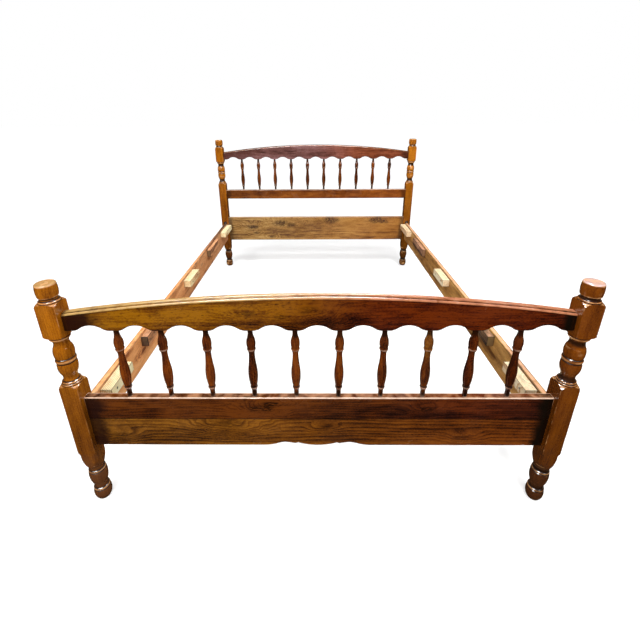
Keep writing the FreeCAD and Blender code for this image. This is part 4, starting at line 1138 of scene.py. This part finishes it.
# %% [markdown]
# ## Side rails
# The rails are plain boards of a paler wood with a thin stain, which is quite worn off their tops. Each end
# is recessed for a steel hook plate. The two boards came from different trees, so each has its own colours
# and heart, and the left rail's brighter tones also paint the light that falls on its inner face.

# %% Side rails
RAIL_TIMBER = {"Ring Spacing": 0.010, "Waviness": 0.05, "Figure": 0.3, "Blotches": 0.6, "Streaks": 0.5,
               "Flecks": 0.4}
RAIL_SKIN = {"Rubbing": 0.8, "Dirtiness": 0.9, "Gloss Low": 0.34, "Gloss High": 0.5}
HOOK_PLATE_HALF, HOOK_PLATE_DEPTH, HOOK_PLATE_MARGIN = 9 * MM, 3 * MM, 13 * MM
# the pale top is worn and partly a painted highlight; the darker upper and lower arrises are painted shade
RAIL_ARRIS, RAIL_UPPER_SHADE, RAIL_LOWER_SHADE, RAIL_TOP = 3 * MM, -0.32, -0.4, 0.9
# where the tree's heart is, the pale, middle, dark and rubbed tones, the tints at foot and head, the knots,
# and the relief of the top at the head; the left rail's brighter tones are partly painted light on its
# inner face
rail_looks = {
    "left": ((0.6, 0.78, -0.25), (255, 186, 122), (242, 164, 98), (160, 86, 44), (250, 200, 136),
             colour(255, 252, 245), colour(222, 224, 240),
             face_knots((-0.60, 0.29, 0.012), (0.25, 0.31, 0.01)), -0.6),
    "right": ((0.6, -0.62, -0.25), (222, 170, 92), (184, 130, 62), (100, 60, 22), (240, 184, 146),
              colour(255, 250, 240), colour(240, 236, 245),
              face_knots((-0.35, 0.30, 0.014), (0.62, 0.28, 0.012)), 0.9),
}


def side_rail(node, material, head_wear):
    """A side rail. head_wear is the relief of its top at the head, and the foot end of the top is always
    worn."""
    bm, flats = planed_board(node, RAIL_ARRIS, RAIL_UPPER_SHADE, RAIL_LOWER_SHADE, RAIL_TOP)
    relief = bm.verts.layers.float["relief"]
    for vert in top_of(flats).verts:
        if vert.co.y > 0:
            vert[relief] = head_wear
    low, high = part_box(node)
    middle_x = (low.x + high.x) / 2
    corners = box_corners(HOOK_PLATE_HALF + PLATE_PLAY, low.z + HOOK_PLATE_MARGIN - PLATE_PLAY,
                          high.z - HOOK_PLATE_MARGIN + PLATE_PLAY)
    for end_y, way in ((low.y, -1), (high.y, 1)):
        end = next(face for face in flats if face.is_valid and face.normal.y * way > FLAT)
        sink(bm, end, [[Vector((middle_x + u, end_y, z)) for u, z in corners]], HOOK_PLATE_DEPTH)
    return finish_piece(bm, f"{node}_board", node, material)


for side, (heart, pale, middle, dark, rubbed, foot_tint, head_tint, knots, head_wear) in rail_looks.items():
    finish = wood_finish(
        f"thin_stain_{side}_rail", "y", heart,
        {"Pale": colour(*pale), "Middle": colour(*middle), "Dark": colour(*dark), **RAIL_TIMBER},
        {"Drift From": -0.9, "Drift To": 0.9, "From Tint": foot_tint, "To Tint": head_tint},
        {**RAIL_SKIN, "Rubbed": colour(*rubbed)}, knots, coat=0.0)
    rail = side_rail(f"side_rail_{side}", finish, head_wear)
    print(rail.name, len(rail.data.polygons), "faces")

# %% [markdown]
# ## Slat blocks
# Five blocks on each rail carry the slats. Three are raw softwood that was added later, and two, one short
# and one long, are brown like the rails. Each is screwed on, so two countersunk holes are cut in its inner
# face before it is finished.

# %% Slat blocks
CLEAT_SCREW_SHARES = (-0.28, 0.28)
CLEAT_SCREW = 4 * MM
SCREW_PLAY = 0.3 * MM
BLOCK_COUNT = 5
# the blocks' dark edges are painted shadow lines, and their tops are worn pale
BLOCK_ARRIS, BLOCK_EDGE_SHADE, BLOCK_TOP = 1.2 * MM, -0.5, 0.6


def screw_spots(node):
    """The middles of the two screw heads on a block, and the way that its screws run."""
    low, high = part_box(node)
    way = 1 if low.x > 0 else -1
    face_x = low.x if way > 0 else high.x
    middle = (low + high) / 2
    spots = [Vector((face_x, middle.y + (high.y - low.y) * share, middle.z)) for share in CLEAT_SCREW_SHARES]
    return spots, Vector((way, 0, 0))


def slat_block(node, material):
    bm, flats = planed_board(node, BLOCK_ARRIS, BLOCK_EDGE_SHADE, BLOCK_EDGE_SHADE, BLOCK_TOP)
    spots, way = screw_spots(node)
    inner = next(face for face in flats if face.normal.dot(way) < -FLAT)
    radius = CLEAT_SCREW + SCREW_PLAY
    circle = round_outline(radius, -radius, radius)
    outlines = [[spot + Vector((0, u, z)) for u, z in circle] for spot in spots]
    sink(bm, inner, outlines, CLEAT_SCREW / 2)
    return finish_piece(bm, f"{node}_block", node, material)


PINE_TIMBER = {"Dark": colour(196, 140, 90), "Ring Spacing": 0.006, "Waviness": 0.02, "Figure": 0.6,
               "Blotches": 0.4, "Streaks": 0.5, "Flecks": 0.15}
PINE_WEAR = {"Rubbed": colour(252, 240, 200), "Rubbing": 0.5, "Dirtiness": 0.6, "Gloss Low": 0.6,
             "Gloss High": 0.75}
# the left blocks' paler tones are painted light, and the right blocks' darker ones painted shade
PINE_LIT_AND_SHADED_COLOURS = {"left": ((255, 246, 202), (250, 228, 172)), "right": ((246, 230, 194), (232, 206, 164))}
PINE_KNOT = {"Centre": (-0.85, -0.68, 0), "Size": 12 * MM, "Stretch": (0.5, 1.0, 0.0), "Darkness": 0.7}
BLOCK_TIMBER = {"Ring Spacing": 0.006, "Waviness": 0.02, "Figure": 0.4, "Blotches": 0.7, "Streaks": 0.5,
                "Flecks": 0.4}
BLOCK_WEAR = {"Rubbed": colour(226, 166, 124), "Rubbing": 0.7, "Dirtiness": 0.8, "Gloss Low": 0.5,
              "Gloss High": 0.65}
END_GRAIN = 3 * MM
# the pale, middle and dark tones of each brown block, and the tone of its end grain; right_cleat_2's darker
# tones are painted shade on its inner face, and its paler end grain is painted light on its near end
BLOCK_COLOURS_AND_PAINTED_LIGHT = {"left_cleat_2": ((244, 178, 124), (212, 146, 96), (120, 76, 48), (66, 56, 42)),
                 "left_cleat_4": ((244, 178, 124), (212, 146, 96), (120, 76, 48), (104, 82, 56)),
                 "right_cleat_2": ((156, 116, 78), (116, 84, 56), (44, 32, 22), (122, 96, 58)),
                 "right_cleat_4": ((206, 152, 116), (166, 118, 88), (76, 54, 38), (130, 94, 64))}
for side in SIDES:
    pale, middle = (colour(*tone) for tone in PINE_LIT_AND_SHADED_COLOURS[side])
    pine_finish = wood_finish(f"raw_pine_{side}", "y", (0.2, 0.05, -0.31),
                              {"Pale": pale, "Middle": middle, **PINE_TIMBER}, None, PINE_WEAR,
                              [PINE_KNOT], coat=0.0, specular=0.2, bump=0.5)
    for number in range(1, BLOCK_COUNT + 1):
        node = f"{side}_cleat_{number}"
        finish = pine_finish
        if node in BLOCK_COLOURS_AND_PAINTED_LIGHT:
            low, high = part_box(node)
            pale, middle, dark, cut = (colour(*tone) for tone in BLOCK_COLOURS_AND_PAINTED_LIGHT[node])
            end_grain = {"Start": low.y, "End": high.y}
            for end in ("Start", "End"):
                end_grain.update({f"{end} Reach": END_GRAIN, f"{end} Shade": cut, f"{end} Amount": 0.9})
            finish = wood_finish(f"brown_block_{side}_{number}", "y", (1.1, 0.02, -0.30),
                                 {"Pale": pale, "Middle": middle, "Dark": dark, **BLOCK_TIMBER}, end_grain,
                                 BLOCK_WEAR, coat=0.0, specular=0.25)
        block = slat_block(node, finish)
    print(side, "blocks of", len(block.data.polygons), "faces")

# %% [markdown]
# ## Steel fittings
# The catch plates in the posts and the hook plates in the rail ends keep their CAD shapes, slots and hooks
# and all, and only need old steel. The screws that show are made again, because a slot across the head is
# what tells the eye that a disc is a screw: the head is a cone, two planes mark the slot on it, and the
# strip between them is pushed in.

# %% Steel
STEEL_ROUGHNESS, RUST_ROUGHNESS = 0.4, 0.3
STEEL_METALLIC, RUST_METALLIC = 0.95, -0.6
PIT_STRENGTH, PIT_DEPTH = 0.3, 0.3 * MM


def steel_finish(name, bright, dull, rust):
    """Old steel: mottled grey that browns in patches."""
    material, s, shader = new_material(name)
    place = s.add("TexCoord").outputs["Object"]
    mottle = s.ramp(s.noise(place, 160.0, 4.0), 0.3, 0.7)
    patch = s.ramp(s.noise(place, 45.0, 4.0), 0.48, 0.66)
    pits = s.add("Bump", Strength=PIT_STRENGTH, Distance=PIT_DEPTH, Height=mottle).outputs["Normal"]
    s.fill(shader, {"Base Color": s.mix(patch, s.mix(mottle, dull, bright), rust), "Normal": pits,
                    "Roughness": s.math("MULTIPLY_ADD", patch, RUST_ROUGHNESS, STEEL_ROUGHNESS),
                    "Metallic": s.math("MULTIPLY_ADD", patch, RUST_METALLIC, STEEL_METALLIC)})
    return material


plate_finish = steel_finish("dark_plate_steel", colour(92, 84, 76), colour(44, 40, 38), colour(40, 24, 16))
screw_finish = steel_finish("screw_steel", colour(150, 142, 130), colour(92, 86, 78), colour(70, 50, 36))
for node, piece in frame["nodes"].items():
    if NODE_SLOT[node] in ("steel", "screw_steel"):
        piece.data.materials.clear()
        piece.data.materials.append(plate_finish if NODE_SLOT[node] == "steel" else screw_finish)
print("steel", sum("steel" in NODE_SLOT[node] for node in frame["nodes"]), "nodes")

# %% Slotted screws
CATCH_SCREW, CATCH_SCREW_LENGTH = 4.5 * MM, 22 * MM
CLEAT_SCREW_BITE = 15 * MM
SLOT_WIDTH_SHARE, SLOT_DEPTH_SHARE = 0.3, 0.3
SLOT_TURN = math.radians(37)
HEAD_SEGMENTS, SHANK_SEGMENTS = 24, 16


def add_screw(bm, place, way, width, length, turn):
    """A countersunk screw with its head flush at a place, running one way. width is its shank's, and its
    head is twice as wide."""
    screw = bmesh.new()
    head = width / 2
    half_slot = width * SLOT_WIDTH_SHARE / 2
    bmesh.ops.create_cone(screw, cap_ends=True, segments=HEAD_SEGMENTS, radius1=width / 2, radius2=width,
                          depth=head, matrix=Matrix.Translation((0, 0, -head / 2)))
    for side in (-1, 1):
        saw(screw, (side * half_slot, 0, 0), (1, 0, 0))
    screw.normal_update()
    strip = [face for face in screw.faces
             if face.normal.z > FLAT and abs(face.calc_center_median().x) < half_slot]
    pushed = bmesh.ops.extrude_face_region(screw, geom=strip)["geom"]
    bmesh.ops.delete(screw, geom=strip, context="FACES_ONLY")
    bmesh.ops.translate(screw, vec=(0, 0, -width * SLOT_DEPTH_SHARE), verts=only(bmesh.types.BMVert, pushed))
    shank = length - head
    bmesh.ops.create_cone(screw, cap_ends=True, segments=SHANK_SEGMENTS, radius1=width / 4, radius2=width / 2,
                          depth=shank, matrix=Matrix.Translation((0, 0, -head - shank / 2)))
    stand = (-way).to_track_quat("Z", "Y").to_matrix().to_4x4()
    bmesh.ops.transform(screw, matrix=Matrix.Translation(place) @ stand @ Matrix.Rotation(turn, 4, "Z"),
                        verts=screw.verts[:])
    mesh = bpy.data.meshes.new("screw")
    screw.to_mesh(mesh)
    screw.free()
    bm.from_mesh(mesh)
    bpy.data.meshes.remove(mesh)


catch_screws = bmesh.new()
for side in SIDES:
    for end in ENDS:
        low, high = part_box(f"{side}_{end}_catch_plate")
        way = Vector((0, -1 if end == "foot" else 1, 0))
        face_y = high.y if end == "foot" else low.y
        round_end = (high.x - low.x) / 2
        for n, z in enumerate((low.z + round_end, high.z - round_end)):
            spot = Vector((low.x + round_end, face_y, z))
            add_screw(catch_screws, spot, way, CATCH_SCREW, CATCH_SCREW_LENGTH, SLOT_TURN * (n + 1))
finish_piece(catch_screws, "catch_plate_screws_slotted", "catch_plate_screws", screw_finish)
for side in SIDES:
    block_screws = bmesh.new()
    for number in range(1, BLOCK_COUNT + 1):
        node = f"{side}_cleat_{number}"
        low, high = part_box(node)
        spots, way = screw_spots(node)
        for n, spot in enumerate(spots):
            add_screw(block_screws, spot, way, CLEAT_SCREW, high.x - low.x + CLEAT_SCREW_BITE,
                      SLOT_TURN * (2 * number + n))
    screws = finish_piece(block_screws, f"{side}_cleat_screws_slotted", f"{side}_cleat_screws", screw_finish)
    print(screws.name, len(screws.data.polygons), "faces")
